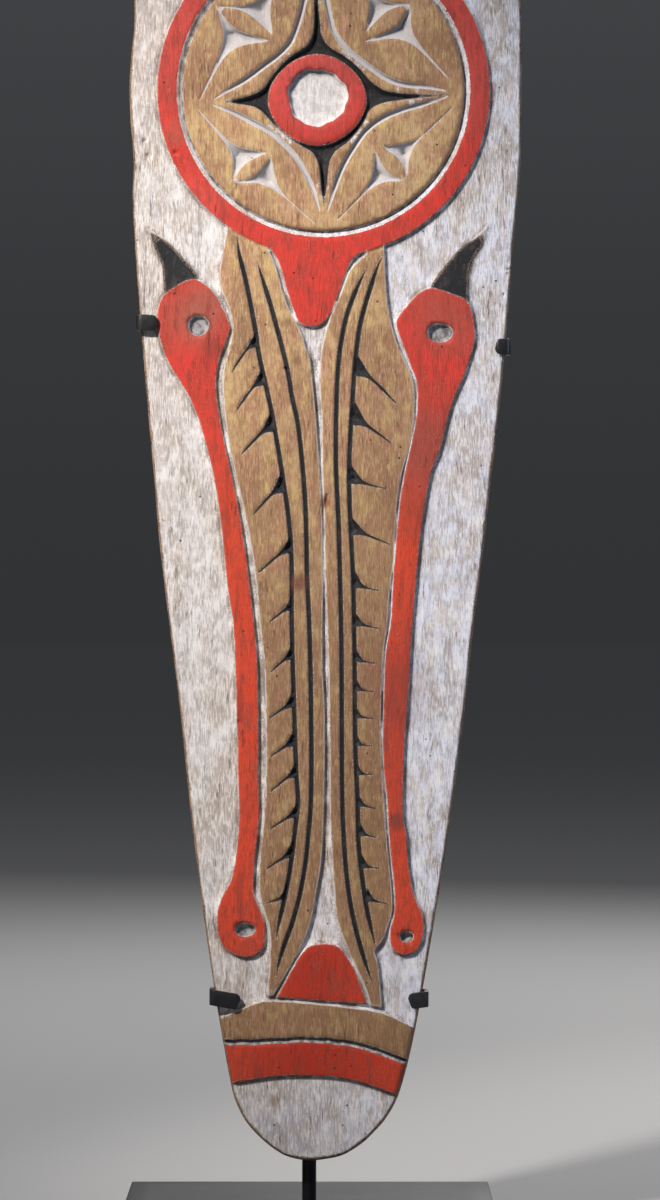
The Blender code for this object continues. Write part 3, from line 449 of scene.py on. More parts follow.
RIGHT_STEM = [(41.2, -114.4), (37, -123.5), (32.9, -136.1), (28.7, -150.1), (25, -165.2),
    (23, -179.5), (21.7, -192.1), (20.6, -209.3), (18.1, -267.4), (19.5, -306.9),
    (21.3, -339.1), (22.7, -393), (23.7, -457.4), (25.6, -498), (26.3, -524.6),
    (29.2, -551.6), (32.5, -572.9), (39.1, -600.9)]

# Inside the ring, drawn all round
STAR = [[(-70.5, -8.6), (-61.4, -6.6), (-52.3, -4.1), (-44, 0.3), (-39.1, 7.3),
    (-31.8, 16.4), (-23.1, 24.4), (-13.4, 30.7), (-9.6, 37.9), (-8.4, 48.6), (-8.5, 61.9),
    (-7.4, 80.8)],
    [(-7.4, 80.8), (-4.5, 48.6), (-2.9, 37.3), (2.3, 30.1), (12.6, 23.9), (22.9, 15.7),
    (31.2, 6.5), (40.5, 0.3), (53.8, -2.2), (86.2, -2.7)],
    [(86.2, -2.7), (69.3, -4.3), (53.9, -6.4), (39.4, -8.9), (31.3, -13.3), (26.2, -23.4),
    (16.1, -35.8), (6.9, -43), (2.8, -51.2), (1.3, -64.5), (-0.9, -80.8)],
    [(-0.9, -80.8), (-3.1, -66.1), (-4.6, -52.7), (-8.2, -44.7), (-16.4, -39.3),
    (-25.3, -33.9), (-36.8, -23.7), (-43.2, -16.4), (-49.5, -12.2), (-58.6, -10.4),
    (-70.5, -8.6)]]
STAR_LINES = [
    [(-78.2, -7.3), (-70.1, -1.5), (-56.6, 6.6), (-43.4, 16.4), (-32.9, 24.4), (-24.8, 33.4),
    (-20.4, 44.1), (-17.7, 53), (-15.7, 61.9), (-12.3, 85.8)],
    [(-3.9, 87.1), (0.4, 61.9), (2.1, 53.8), (5.3, 41.6), (12.5, 31.1), (22.9, 22),
    (32.9, 14.7), (43.5, 8), (53.8, 4.5), (69.2, 2.9), (84.6, -0.1)],
    [(85.7, -3.8), (69.3, -9.1), (53.9, -13.6), (39.5, -19.9), (28.3, -28.6), (20.2, -39.9),
    (13.1, -52.1), (7, -67.5), (2.1, -85)],
    [(-79.9, -10.8), (-65.6, -15.7), (-51.2, -22.8), (-38.9, -29.5), (-29.7, -37.4),
    (-20.6, -47.2), (-13.5, -58.9), (-8, -70.6), (-3.5, -84.8)]]
# Each pit: its corner near the boss, its far corner, its long corner and its deepest point
PITS = [((-41.2, -44.2), (-64.3, -63.8), (-89.2, -14.3), (-61.2, -46.5)),
        ((-38, -47.8), (-62.1, -65.2), (-6.9, -93.7), (-40, -64)),
        ((40.7, -39.3), (57.2, -60.4), (90.4, -10.1), (55.7, -44.4)),
        ((35.1, -43.5), (53.8, -63), (8.7, -91.2), (37.6, -59.8)),
        ((-40, 34.3), (-76.3, 56.6), (-88.4, -7.7), (-65.2, 39.5)),
        ((-37.9, 38.8), (-75.1, 58), (-13.3, 90.3), (-44.3, 56.3)),
        ((27.4, 34.2), (59.1, 58.4), (86.1, 8.5), (53, 44.4)),
        ((28.4, 41.4), (57.6, 60.4), (7.2, 90.6), (34.1, 56.3))]

# Each notch: x of its root, y of its root's top and bottom, x and y of its tip
LEFT_NOTCHES = [(-47.7, -173.9, -180.2, -64.4, -197.8), (-42.7, -199.1, -206.8, -60.7, -224.3),
    (-35.1, -228.5, -239, -57, -255.1), (-28.2, -271.9, -281.8, -48.3, -297.1),
    (-20.9, -315.3, -323.8, -44.5, -338.1), (-21.3, -358.8, -364.3, -36.6, -372.4),
    (-20.7, -391.6, -398.6, -35.7, -407.4), (-19.5, -424.5, -432.2, -36.5, -439.9),
    (-19.7, -453.2, -459.5, -35.5, -466.9), (-17.5, -474.9, -481.2, -35.1, -491),
    (-16.9, -503.6, -509.2, -35.2, -517.4), (-19.2, -530.2, -537.2, -37.9, -545.6),
    (-23.5, -560.3, -566.6, -37.2, -569.4)]
RIGHT_NOTCHES = [(22.2, -190, -199.8, 50.4, -218.8), (20.5, -222.9, -234.1, 47, -246.5),
    (19.4, -267.4, -275.4, 44, -278.7), (20, -303.4, -310.8, 47, -317.8),
    (22, -340.3, -348.2, 39.5, -349.9), (22.6, -368.5, -374.8, 39.7, -376.5),
    (23.3, -394, -400, 37.3, -401), (23.4, -414.4, -420.3, 36.3, -420.8),
    (23.6, -434.3, -439.2, 36.1, -439.9), (24.4, -453.9, -458.8, 34.9, -458.6),
    (24.2, -472.8, -479.1, 36.2, -478.7), (26.5, -496.6, -501.1, 37.9, -502.7),
    (27.3, -516.2, -521.6, 39.1, -522.9), (28.9, -538.6, -544.2, 40.8, -544.1),
    (32.5, -561.8, -567.7, 46.4, -569)]
# Each hole: its centre and its two radii
HOLES = [((-88.1, -165.3), (7.4, 7.2)), ((81.1, -169.3), (9, 6.8)),
         ((-52.6, -588.1), (7.2, 4.9)), ((60.4, -592.3), (5, 4))]

LEFT_EDGE = [(-137.8, 0), (-136.9, -22), (-134.6, -50), (-135.1, -78), (-121.4, -246),
    (-118.5, -274), (-116.2, -302), (-113.2, -330), (-98.5, -442), (-92.5, -498),
    (-81.4, -582), (-72.7, -638), (-62.5, -694), (-58.9, -708), (-51.8, -722),
    (-46.2, -729), (-39.1, -736), (-30, -743), (-23.7, -746.5), (-17.3, -748.6), (-6.1, -750)]
RIGHT_EDGE = [(137.3, 0), (137.5, -22), (137, -50), (135.1, -78), (132.4, -106),
    (128.6, -162), (120.8, -246), (117.4, -274), (114.8, -302), (104.9, -386),
    (102.3, -414), (92.3, -498), (84.3, -554), (65.4, -666), (58.6, -694), (53.8, -708),
    (45.5, -722), (39.2, -729), (32.3, -736), (22.5, -743), (15.5, -746.5), (6.5, -748.6),
    (-6.1, -750)]

# Small damage: place, half length, half width, turn in degrees and depth
CHIPS = [((-105.1, -44.4), 1.2, 1.0, 0, 2.5), ((-124.2, -47.2), 4.5, 1.6, 80, 1.6),
         ((-126.3, -35.3), 3.0, 1.0, 70, 1.2), ((2.0, -289), 12, 1.7, 82, 2.2),
         ((109, 54.9), 5, 3.0, 20, 0.6), ((125.7, -142.4), 1.5, 1.0, 80, 1.5),
         ((128.9, -123.5), 11, 0.8, 88, 1.3), ((-26.8, -194.9), 2.0, 1.2, 0, 1.0),
         ((-57.9, -443.4), 3.5, 1.4, 90, 1.4), ((-113.3, 0.3), 6.0, 0.7, 5, 0.8)]

# The forms that stand above the ground, each with its paint; horns and bands are painted in parts
FORMS = (("club", "red", LEFT_CLUB), ("club", "red", RIGHT_CLUB), ("tab", "red", TAB),
         ("dome", "red", DOME), ("leaf", "gold", LEFT_LEAF), ("leaf", "gold", RIGHT_LEAF),
         ("horn", None, LEFT_HORN), ("horn", None, RIGHT_HORN), ("band", None, BAND))
STEMS = (LEFT_STEM, LEFT_VEIN, RIGHT_VEIN, RIGHT_STEM)
# What the front's material reads at each point: how far it is inside each paint and inside the
# painted shade of the recesses, inside the forms, and from the board's edge
MEASURES = ("red", "gold", "black", "pale", "dim", "apart", "brim")


def spline(points, step=STEP, closed=False):
    """Run an evenly spaced line through drawn points, without overshooting them."""
    drawn = np.array(points, float)
    if closed:
        a, b, c, d = (np.roll(drawn, shift, axis=0) for shift in (1, 0, -1, -2))
    else:
        padded = np.vstack([2 * drawn[0] - drawn[1], drawn, 2 * drawn[-1] - drawn[-2]])
        a, b, c, d = padded[:-3], padded[1:-2], padded[2:-1], padded[3:]
    t1, t2, t3 = np.cumsum([np.linalg.norm(q - p, axis=1) ** 0.5
                            for p, q in ((a, b), (b, c), (c, d))], axis=0)[:, :, None]
    dense = []
    for share in np.linspace(0, 1, SPLINE_PARTS, endpoint=False):
        t = t1 + (t2 - t1) * share
        ab = a + (b - a) * t / t1
        bc = b + (c - b) * (t - t1) / (t2 - t1)
        cd = c + (d - c) * (t - t2) / (t3 - t2)
        abc = ab + (bc - ab) * t / t2
        bcd = bc + (cd - bc) * (t - t1) / (t3 - t1)
        dense.append(abc + (bcd - abc) * (t - t1) / (t2 - t1))
    line = np.stack(dense, axis=1).reshape(-1, 2)
    line = np.vstack([line, drawn[:1] if closed else drawn[-1:]])
    run = np.concatenate([[0], np.cumsum(np.linalg.norm(np.diff(line, axis=0), axis=1))])
    even = np.linspace(0, run[-1], max(2, round(run[-1] / step)) + 1)
    line = np.stack([np.interp(even, run, line[:, i]) for i in (0, 1)], axis=1)
    return line[:-1] if closed else line


def turned_over(points, side=-1):
    """Repeat drawn points in a half of the board: 1 is the lower half, -1 the upper."""
    return [(x, side * y) for x, y in points]


def area(outline):
    """Give a closed outline's area, positive where it runs counter-clockwise."""
    x, y = outline.T
    return 0.5 * float(np.sum(x * np.roll(y, -1) - np.roll(x, -1) * y))


def outline_of(stretches, side=1, step=STEP):
    """Join drawn stretches into one closed outline, in a half of the board."""
    drawn = [turned_over(stretch, side) for stretch in stretches]
    if len(drawn) == 1:
        outline = spline(drawn[0], step, closed=True)
    else:
        outline = np.vstack([spline(stretch, step)[:-1] for stretch in drawn])
    return outline if area(outline) > 0 else outline[::-1]


def squared(turn, power):
    """Go round a circle that is nearer a square under power 1, and nearer a diamond over it."""
    return [np.sign(part) * abs(part) ** power for part in (np.cos(turn), np.sin(turn))]


def oval(centre, radii, step=STEP, waver=0.0, square=1.0):
    """Trace an oval counter-clockwise, uneven where it wavers."""
    count = round(2 * math.pi * max(radii) / step)
    turn = np.linspace(0, 2 * math.pi, count, endpoint=False)
    uneven = 1 + waver * sum(size * np.sin(waves * turn + shift) for waves, size, shift in WAVES)
    across, up = squared(turn, square)
    return np.stack([centre[0] + radii[0] * uneven * across,
                     centre[1] + radii[1] * uneven * up], axis=1)


def circle(radius):
    """Trace a circle about the ring's centre."""
    return oval(RING_CENTRE, (radius, radius))


def bow(start, end, towards, along, share):
    """Bend a line from start to end towards a point, by a share of its length at a place along it."""
    start, end, towards = (np.array(point, float) for point in (start, end, towards))
    run = end - start
    across = np.array([-run[1], run[0]])
    if across @ (towards - start) < 0:
        across = -across
    return spline([start, start + along * run + share * across, end], FINE_STEP)


def inside(points, outline):
    """Tell which points lie inside a closed outline."""
    result = np.zeros(len(points), bool)
    near = np.nonzero(((points > outline.min(0)) & (points < outline.max(0))).all(1))[0]
    a = outline
    b = np.roll(outline, -1, axis=0)
    rise = np.where(b[:, 1] == a[:, 1], TINY, b[:, 1] - a[:, 1])
    for part in np.array_split(near, len(near) * len(a) // CHUNK + 1):
        x, y = points[part, 0][:, None], points[part, 1][:, None]
        spans = (a[:, 1] > y) != (b[:, 1] > y)
        beyond = x < a[:, 0] + (y - a[:, 1]) * (b[:, 0] - a[:, 0]) / rise
        result[part] = (spans & beyond).sum(1) % 2 == 1
    return result


def distance(points, line, closed=False, reach=REACH):
    """Give each point's distance to a line, up to reach, and how far along it is nearest."""
    result = np.full(len(points), reach)
    along = np.zeros(len(points))
    starts = line if closed else line[:-1]
    ends = np.roll(line, -1, axis=0) if closed else line[1:]
    lengths = np.linalg.norm(ends - starts, axis=1) + SHORTEST
    runs = np.cumsum(lengths) - lengths
    for first in range(0, len(starts), PIECE):
        piece = slice(first, first + PIECE)
        a, b, length, run = starts[piece], ends[piece], lengths[piece], runs[piece]
        low, high = np.minimum(a, b).min(0) - reach, np.maximum(a, b).max(0) + reach
        near = np.nonzero(((points > low) & (points < high)).all(1))[0]
        if len(near) == 0:
            continue
        ab = b - a
        ap = points[near][:, None, :] - a
        share = np.clip((ap * ab).sum(2) / length ** 2, 0, 1)
        away = ((ap - share[:, :, None] * ab) ** 2).sum(2)
        best = away.argmin(1)
        rows = np.arange(len(near))
        found = np.sqrt(away[rows, best])
        closer = found < result[near]
        result[near[closer]] = found[closer]
        along[near[closer]] = (run[best] + share[rows, best] * length[best])[closer]
    return result, along


def signed(points, outline):
    """Give each point's distance to an outline, positive inside it."""
    away, _ = distance(points, outline, True)
    return np.where(inside(points, outline), away, -away)


def vee(points, line, width, taper=0.0):
    """Give how far each point is inside a cut along a line, whose ends narrow to a point."""
    away, along = distance(points, line)
    half = np.full(len(points), width / 2)
    if taper:
        length = float(np.linalg.norm(np.diff(line, axis=0), axis=1).sum())
        half *= np.clip(np.minimum(along, length - along) / taper, 0, 1) ** TAPER_CURVE
    return half - away


def vee_depth(within, width, depth):
    """Give how deep a cut with sloping sides is, where a point is so far inside it."""
    return np.clip(within, 0, None) * 2 * depth / width


def ramp(share):
    """Rise steeply and then ease off, from 0 to 1."""
    return 1 - (1 - np.clip(share, 0, 1)) ** 1.6


def rounding(brim):
    """Give how far the rounded rim falls at a distance from the board's edge."""
    fall = np.clip(EDGE_ROUND - brim, 0, EDGE_ROUND)
    return EDGE_ROUND - np.sqrt(np.clip(EDGE_ROUND ** 2 - fall ** 2, 0, None))


def ripple(points, across, along, seed):
    """Give even, soft unevenness from -1 to 1, with its own length across and along the grain."""
    size = 256
    table = np.random.default_rng(seed).uniform(-1, 1, (size, size))
    u, v = points[:, 0] / across + 40, points[:, 1] / along + 120
    i, j = np.floor(u).astype(int), np.floor(v).astype(int)
    s, t = u - i, v - j
    s, t = s * s * (3 - 2 * s), t * t * (3 - 2 * t)
    a, b = table[i % size, j % size], table[(i + 1) % size, j % size]
    c, d = table[i % size, (j + 1) % size], table[(i + 1) % size, (j + 1) % size]
    return (a * (1 - s) + b * s) * (1 - t) + (c * (1 - s) + d * s) * t


def offset_line(line, offset, closed):
    """Lay a row beside a line, to the right of its run, without the points that fold over."""
    if closed:
        ahead = np.roll(line, -1, axis=0) - np.roll(line, 1, axis=0)
    else:
        ahead = np.gradient(line, axis=0)
    ahead /= np.linalg.norm(ahead, axis=1)[:, None] + TINY
    row = line + offset * np.stack([ahead[:, 1], -ahead[:, 0]], axis=1)
    away, _ = distance(row, line, closed, abs(offset) + 1)
    return row[away > abs(offset) - FOLD_SLACK]


def board_outline():
    """Trace the board's edge counter-clockwise from its lower tip."""
    right = RIGHT_EDGE[::-1] + turned_over(RIGHT_EDGE[1:])
    left = turned_over(LEFT_EDGE[::-1])[1:] + LEFT_EDGE[1:-1]
    return spline(right + left, closed=True)


def make_forms():
    """Lay out the raised forms of both halves and the ring, each with its paint."""
    forms = [(kind, paint, side, outline_of(stretches, side, step))
             for side, step in HALVES for kind, paint, stretches in FORMS]
    return forms + [("ring", None, 0, circle(RING_RADIUS))]


def make_grooves():
    """Lay out the black stem grooves of the leaves."""
    return [spline(turned_over(points, side), step) for side, step in HALVES for points in STEMS]


def make_band_grooves():
    """Lay out the slightly uneven groove along the band of each half."""
    grooves = {}
    for side in (1, -1):
        line = spline(turned_over(BAND_GROOVE, side))
        line[:, 1] += BAND_GROOVE_WAVER * ripple(line, *BAND_MARKS)
        grooves[side] = line
    return grooves


def make_notches():
    """Lay out every notch: its steep upper edge, its gentle lower edge and the crease between."""
    notches = []
    for side, step in ((1, FINE_STEP), (-1, UPPER_STEP)):
        for root, high, low, tip_x, tip_y in LEFT_NOTCHES + RIGHT_NOTCHES:
            across, down, mouth = tip_x - root, tip_y - low, high - low
            upper = [(root + 0.02 * across, low + 1.5 * mouth), (root + 0.14 * across, low + mouth),
                     (root + 0.34 * across, low + 0.3 * mouth + 0.12 * down),
                     (root + 0.68 * across, low + 0.46 * down), (tip_x, tip_y)]
            lower = [(tip_x, tip_y), (root + 0.64 * across, low + 0.5 * down),
                     (root + 0.3 * across, low + 0.08 * down), (root, low)]
            upper, lower = (spline(turned_over(edge, side), step) for edge in (upper, lower))
            even = np.linspace(0, 1, len(upper))
            back = np.linspace(1, 0, len(lower))
            middle = (upper + np.stack([np.interp(even, back[::-1], lower[::-1, i])
                                        for i in (0, 1)], axis=1)) / 2
            notches.append((upper, lower, middle[:-1]))
    return notches


def make_pits():
    """Lay out every pit inside the ring: its three walls, its outline and its deepest point."""
    pits = []
    for near, far, tail, apex in PITS:
        long_bow = PIT_BOW if apex[1] < 0 else PIT_BOW_UPPER
        walls = (bow(near, far, apex, 0.58, PIT_BOW_NEAR), bow(far, tail, apex, 0.30, PIT_BOW),
                 bow(tail, near, apex, 0.62, long_bow))
        pits.append((walls, np.vstack([wall[:-1] for wall in walls]), np.array(apex)))
    return pits


def creases(walls, apex):
    """Run the three creases of a pit from its corners, midway between two walls, to its apex."""
    found = []
    for i, share in ((0, 0.3), (1, 0.3), (2, 0.5)):
        ahead, behind = walls[i], walls[i - 1][::-1]
        even = np.linspace(0, share, 9)
        middle = sum(np.stack([np.interp(even, np.linspace(0, 1, len(wall)), wall[:, k])
                               for k in (0, 1)], axis=1) for wall in (ahead, behind)) / 2
        found.append(spline(np.vstack([middle, apex]), FINE_STEP))
    return found


class Drawing:
    """Every line that is cut into the board."""

    def __init__(self):
        """Lay out the lines of both halves."""
        self.edge = board_outline()
        self.forms = make_forms()
        self.star = outline_of(STAR)
        self.boss = oval(BOSS_CENTRE, BOSS_RADII, square=BOSS_SQUARE)
        self.dish = oval(DISH_CENTRE, DISH_RADII, waver=DISH_WAVER)
        self.star_lines = [spline(points) for points in STAR_LINES]
        self.pits = make_pits()
        self.grooves = make_grooves()
        self.notches = make_notches()
        self.band_grooves = make_band_grooves()
        self.holes = [oval((x, side * y), radii, waver=EYE_WAVER)
                      for side in (1, -1) for (x, y), radii in HOLES]


class Carving:
    """The carved front at each point: how deep it is, and how far inside each paint."""

    def __init__(self, points):
        """Start from the cleared ground."""
        self.points = points
        self.x, self.y = points.T
        self.depth = np.full(len(points), RELIEF)
        self.within = {name: np.full(len(points), -REACH)
                       for name in MEASURES + ("collar", "heads", "field")}

    def cut(self, depth, where=True):
        """Deepen the front to a depth."""
        self.depth = np.where(where, np.maximum(self.depth, depth), self.depth)

    def paint(self, name, away):
        """Spread a paint to wherever a measure is larger."""
        self.within[name] = np.maximum(self.within[name], away)

    def keep_off(self, name, away):
        """Keep a paint out of a form."""
        self.within[name] = np.minimum(self.within[name], -away)

    def raise_forms(self, forms, band_grooves):
        """Leave the forms standing above the ground, with their lips softened."""
        for kind, paint, side, outline in forms:
            away = signed(self.points, outline)
            if kind == "tab":
                in_ring = RING_RADIUS - np.hypot(self.x - RING_CENTRE[0], self.y)
                away = np.minimum(away, TAB_OVERLAP - in_ring)
            top = LIP_DROP * np.clip(1 - away / LIP, 0, 1) ** 2
            if kind == "horn":
                along = np.clip((-side * self.y - HORN_TIP_HEIGHT) / HORN_LENGTH, 0, 1)
                top = top + HORN_DROP + (HORN_TIP_DROP - HORN_DROP) * (1 - along)
                bare = HORN_PAINT_FADE * np.clip(HORN_BARE_TIP - along, 0, 1)
                self.paint("black", away + HORN_PAINT_SPREAD - bare)
            self.depth = np.minimum(self.depth, top + (RELIEF - top) * ramp(-away / WALL_RUN))
            self.paint("apart", away)
            if kind in ("ring", "tab"):
                self.paint("collar", away)
            if kind == "club":
                self.paint("heads", away)
            if paint:
                self.paint(paint, away)
            if kind == "band":
                self.cut_band(away, side, band_grooves[side])
        self.keep_off("black", self.within["heads"])

    def cut_band(self, away, side, line):
        """Cut a band's groove, and paint the band gold above it and red below."""
        above = (self.y - np.interp(self.x, line[:, 0], line[:, 1])) * side
        groove = vee(self.points, line, BAND_GROOVE_WIDTH)
        self.paint("gold", np.minimum(np.minimum(away, above), -groove))
        self.paint("red", np.minimum(np.minimum(away, -above), -groove))
        self.cut(vee_depth(groove, BAND_GROOVE_WIDTH, BAND_GROOVE_DEPTH))
        self.paint("black", np.minimum(groove + BAND_LINE_SPREAD, above + BAND_LINE_RISE))
        # Painted shade on the groove's wall towards the board's tip
        self.paint("dim", np.minimum(groove + BAND_LINE_SPREAD, -above))

    def dip_leaves(self):
        """Let the leaves dip where they pass under the ring and the tab."""
        beyond = -self.within["collar"]
        dip = np.minimum(beyond / COLLAR_DIP_START,
                         (COLLAR_DIP_WIDTH - beyond) / (COLLAR_DIP_WIDTH - COLLAR_DIP_START))
        self.cut(COLLAR_DIP * np.clip(dip, 0, 1) * (self.within["gold"] > 0))

    def cut_ring(self):
        """Cut the groove inside the ring and paint the ring, with the smear at its right side."""
        from_ring = np.hypot(self.x - RING_CENTRE[0], self.y - RING_CENTRE[1])
        groove_in = from_ring - FIELD_RADIUS
        groove_out = FIELD_RADIUS + RING_GROOVE_WIDTH - from_ring
        cut = np.minimum(groove_in / (RING_GROOVE_INNER * RING_GROOVE_WIDTH),
                         groove_out / (RING_GROOVE_OUTER * RING_GROOVE_WIDTH))
        self.cut(RING_GROOVE_DEPTH * np.clip(cut, 0, 1))
        band = np.minimum(from_ring - FIELD_RADIUS - RING_GROOVE_WIDTH, RING_RADIUS - from_ring)
        self.paint("red", np.clip(band, -REACH, REACH))
        field = np.clip(FIELD_RADIUS - from_ring, -REACH, REACH)
        self.within["field"] = np.clip(field + FIELD_PAINT_SPREAD, -REACH, REACH)
        # Painted shade along the bottom of the groove inside the ring
        line = RING_LINE_HALF_WIDTH - abs(groove_in - RING_LINE_PLACE)
        self.paint("dim", np.clip(line, -REACH, REACH))
        smear = np.minimum(SMEAR_HALF_WIDTH - abs(from_ring - RING_RADIUS - SMEAR_GAP),
                           SMEAR_HALF_LENGTH - abs(self.y + SMEAR_DROP))
        self.paint("red", np.where(self.x > 0, np.clip(smear, -REACH, REACH), -REACH))

    def cut_star(self, drawing):
        """Cut the black star round the raised boss, the boss's dish and the lines of the star."""
        star, boss, dish = (signed(self.points, outline)
                            for outline in (drawing.star, drawing.boss, drawing.dish))
        self.cut(STAR_DEPTH * np.minimum(ramp(star / STAR_RUN), ramp(-boss / STAR_RUN)))
        self.cut(BOSS_LIP_DROP * np.clip(1 - boss / BOSS_LIP, 0, 1) ** 2 * (boss > BOSS_REACH))
        self.cut(DISH_DEPTH * ramp(dish / DISH_RUN))
        self.paint("black", np.minimum(star, -boss))
        self.paint("red", np.minimum(boss, -dish))
        self.paint("pale", dish)
        self.keep_off("field", np.maximum(star, boss))
        for line in drawing.star_lines:
            groove = vee(self.points, line, STAR_LINE_WIDTH, CUT_TAPER)
            self.cut(vee_depth(groove, STAR_LINE_WIDTH, STAR_LINE_DEPTH))
            self.paint("pale", np.minimum(groove, -star))
            self.keep_off("field", groove)

    def cut_pits(self, pits):
        """Cut each pit from its three walls down to its deepest point."""
        for walls, outline, apex in pits:
            share = np.full(len(self.points), REACH)
            for wall in walls:
                away, _ = distance(self.points, wall, reach=PIT_REACH)
                reach, _ = distance(apex[None], wall, reach=PIT_REACH)
                share = np.minimum(share, away / reach[0])
            away = signed(self.points, outline)
            fall = np.maximum(PIT_DEPTH * np.clip(share, 0, 1) ** PIT_CURVE,
                              np.minimum(PIT_WALL_SLOPE * away, PIT_WALL_DEPTH))
            self.cut(fall, away > 0)
            self.paint("pale", away)
            self.keep_off("field", away)
        self.paint("gold", self.within["field"])

    def cut_leaves(self, grooves, notches):
        """Cut the black stem grooves of the leaves, and the notches beside them."""
        for line in grooves:
            groove = vee(self.points, line, STEM_WIDTH, CUT_TAPER)
            self.cut(vee_depth(groove, STEM_WIDTH, STEM_DEPTH))
            self.paint("black", groove - STEM_PAINT_INSET)
        for upper, lower, _ in notches:
            away = signed(self.points, np.vstack([upper[:-1], lower]))
            from_upper, _ = distance(self.points, upper)
            from_lower, _ = distance(self.points, lower)
            slope = np.minimum(NOTCH_STEEP * from_upper, NOTCH_GENTLE * from_lower)
            self.cut(np.minimum(slope, NOTCH_DEPTH), away > 0)
            self.paint("black", away + NOTCH_PAINT_SPREAD)
            # A pale line beside each notch's lower edge, which faces the light: worn edge and painted
            # highlight
            line = NOTCH_LINE_HALF_WIDTH - abs(from_lower - NOTCH_LINE_GAP)
            self.paint("pale", np.where(away < 0, line, -REACH))

    def cut_holes(self, holes):
        """Cut the eye and foot holes: pale paint inside, and painted shade over it."""
        for outline in holes:
            hole = signed(self.points, outline)
            self.cut(EYE_DEPTH * ramp(hole / EYE_RUN))
            self.paint("pale", hole - EYE_PAINT_INSET)
            self.paint("dim", hole)
            self.keep_off("red", hole)

    def damage(self):
        """Take out the chips and lay the tool marks over the whole front."""
        for (chip_x, chip_y), long, short, turn, deep in CHIPS:
            turn = math.radians(turn)
            right, up = self.x - chip_x, self.y - chip_y
            u = (right * math.cos(turn) + up * math.sin(turn)) / long
            v = (up * math.cos(turn) - right * math.sin(turn)) / short
            self.depth += deep * np.clip(1 - u * u - v * v, 0, 1) ** CHIP_CURVE
        self.depth += sum(size * ripple(self.points, *marks) for size, *marks in FRONT_MARKS)

    def round_rim(self, edge):
        """Round the board's rim over, with the carving fading out on it."""
        brim, _ = distance(self.points, edge, True)
        self.depth = np.maximum(self.depth, 0) * np.clip(brim / RIM_SOFTENING, 0, 1)
        self.cut(rounding(brim) + RIM_CUT_SHARE * self.depth * (brim < EDGE_ROUND))
        self.depth = np.where(brim < ON_THE_RIM, EDGE_ROUND, self.depth)
        self.within["brim"] = brim


def carve(points, drawing):
    """Carve the whole drawing and give its depth and its paints at each point."""
    carving = Carving(points)
    carving.raise_forms(drawing.forms, drawing.band_grooves)
    carving.dip_leaves()
    carving.cut_ring()
    carving.cut_star(drawing)
    carving.cut_pits(drawing.pits)
    carving.cut_leaves(drawing.grooves, drawing.notches)
    carving.cut_holes(drawing.holes)
    carving.damage()
    carving.round_rim(drawing.edge)
    return carving.depth, {name: carving.within[name] for name in MEASURES}


def hex_grid(spacing):
    """Cover the whole board with evenly spaced points."""
    rows = np.arange(-HALF_LENGTH, HALF_LENGTH, spacing * math.sqrt(3) / 2)
    across = np.arange(-HALF_WIDTH - 2, HALF_WIDTH + 2, spacing)
    return np.vstack([np.stack([across + (i % 2) * spacing / 2, np.full(len(across), row)], axis=1)
                      for i, row in enumerate(rows)])


def spread_out(points, gap):
    """Drop the points that come closer than a gap to one kept before them."""
    cells = {}
    kept = []
    for x, y in points:
        i, j = int(x // gap), int(y // gap)
        near = (other for di in (-1, 0, 1) for dj in (-1, 0, 1)
                for other in cells.get((i + di, j + dj), ()))
        if all((x - a) ** 2 + (y - b) ** 2 >= gap * gap for a, b in near):
            cells.setdefault((i, j), []).append((x, y))
            kept.append((x, y))
    return np.array(kept)


def find_among(others):
    """Make ready to find the nearest of some points."""
    tree = kdtree.KDTree(len(others))
    for i, (x, y) in enumerate(others):
        tree.insert((x, y, 0), i)
    tree.balance()
    return tree


def nearest(points, others):
    """Give each point's distance to the nearest of some others."""
    tree = find_among(others)
    return np.array([tree.find((x, y, 0))[2] for x, y in points])


def on_the_board(points, edge):
    """Tell which points lie on the board, whose edge rises steadily up both of its sides."""
    turned = np.roll(edge, -edge[:, 1].argmin(), axis=0)
    top = turned[:, 1].argmax()
    right = turned[:top + 1]
    left = np.vstack([turned[top:], turned[:1]])[::-1]
    x, y = points.T
    return ((x < np.interp(y, right[:, 1], right[:, 0]))
            & (x > np.interp(y, left[:, 1], left[:, 0])))


def triangulate(fixed, loose, edge):
    """Join points into triangles that keep to the given lines, inside the board's edge."""
    corners = []
    links = []
    for line, closed in fixed:
        first = len(corners)
        corners += [Vector(point) for point in line]
        links += [(first + i, first + i + 1) for i in range(len(line) - 1)]
        if closed:
            links.append((len(corners) - 1, first))
    corners += [Vector(point) for point in loose]
    placed, _, faces, _, _, _ = delaunay_2d_cdt(corners, links, [], 0, WELD, False)
    placed = np.array([tuple(point) for point in placed])
    faces = np.array(faces)
    faces = faces[on_the_board(placed[faces].mean(axis=1), edge)]
    a, b, c = (placed[faces[:, i]] for i in range(3))
    turn = (b[:, 0] - a[:, 0]) * (c[:, 1] - a[:, 1]) - (b[:, 1] - a[:, 1]) * (c[:, 0] - a[:, 0])
    faces = np.where(turn[:, None] > 0, faces, faces[:, ::-1])
    used, faces = np.unique(faces, return_inverse=True)
    return placed[used], faces.reshape(-1, 3)


def border(faces):
    """Walk round the open edge of a sheet of triangles."""
    sides = np.vstack([faces[:, [0, 1]], faces[:, [1, 2]], faces[:, [2, 0]]])
    shared = {(int(b), int(a)) for a, b in sides}
    ahead = {int(a): int(b) for a, b in sides if (int(a), int(b)) not in shared}
    start = next(iter(ahead))
    loop = [start]
    while ahead[loop[-1]] != start:
        loop.append(ahead[loop[-1]])
    return loop


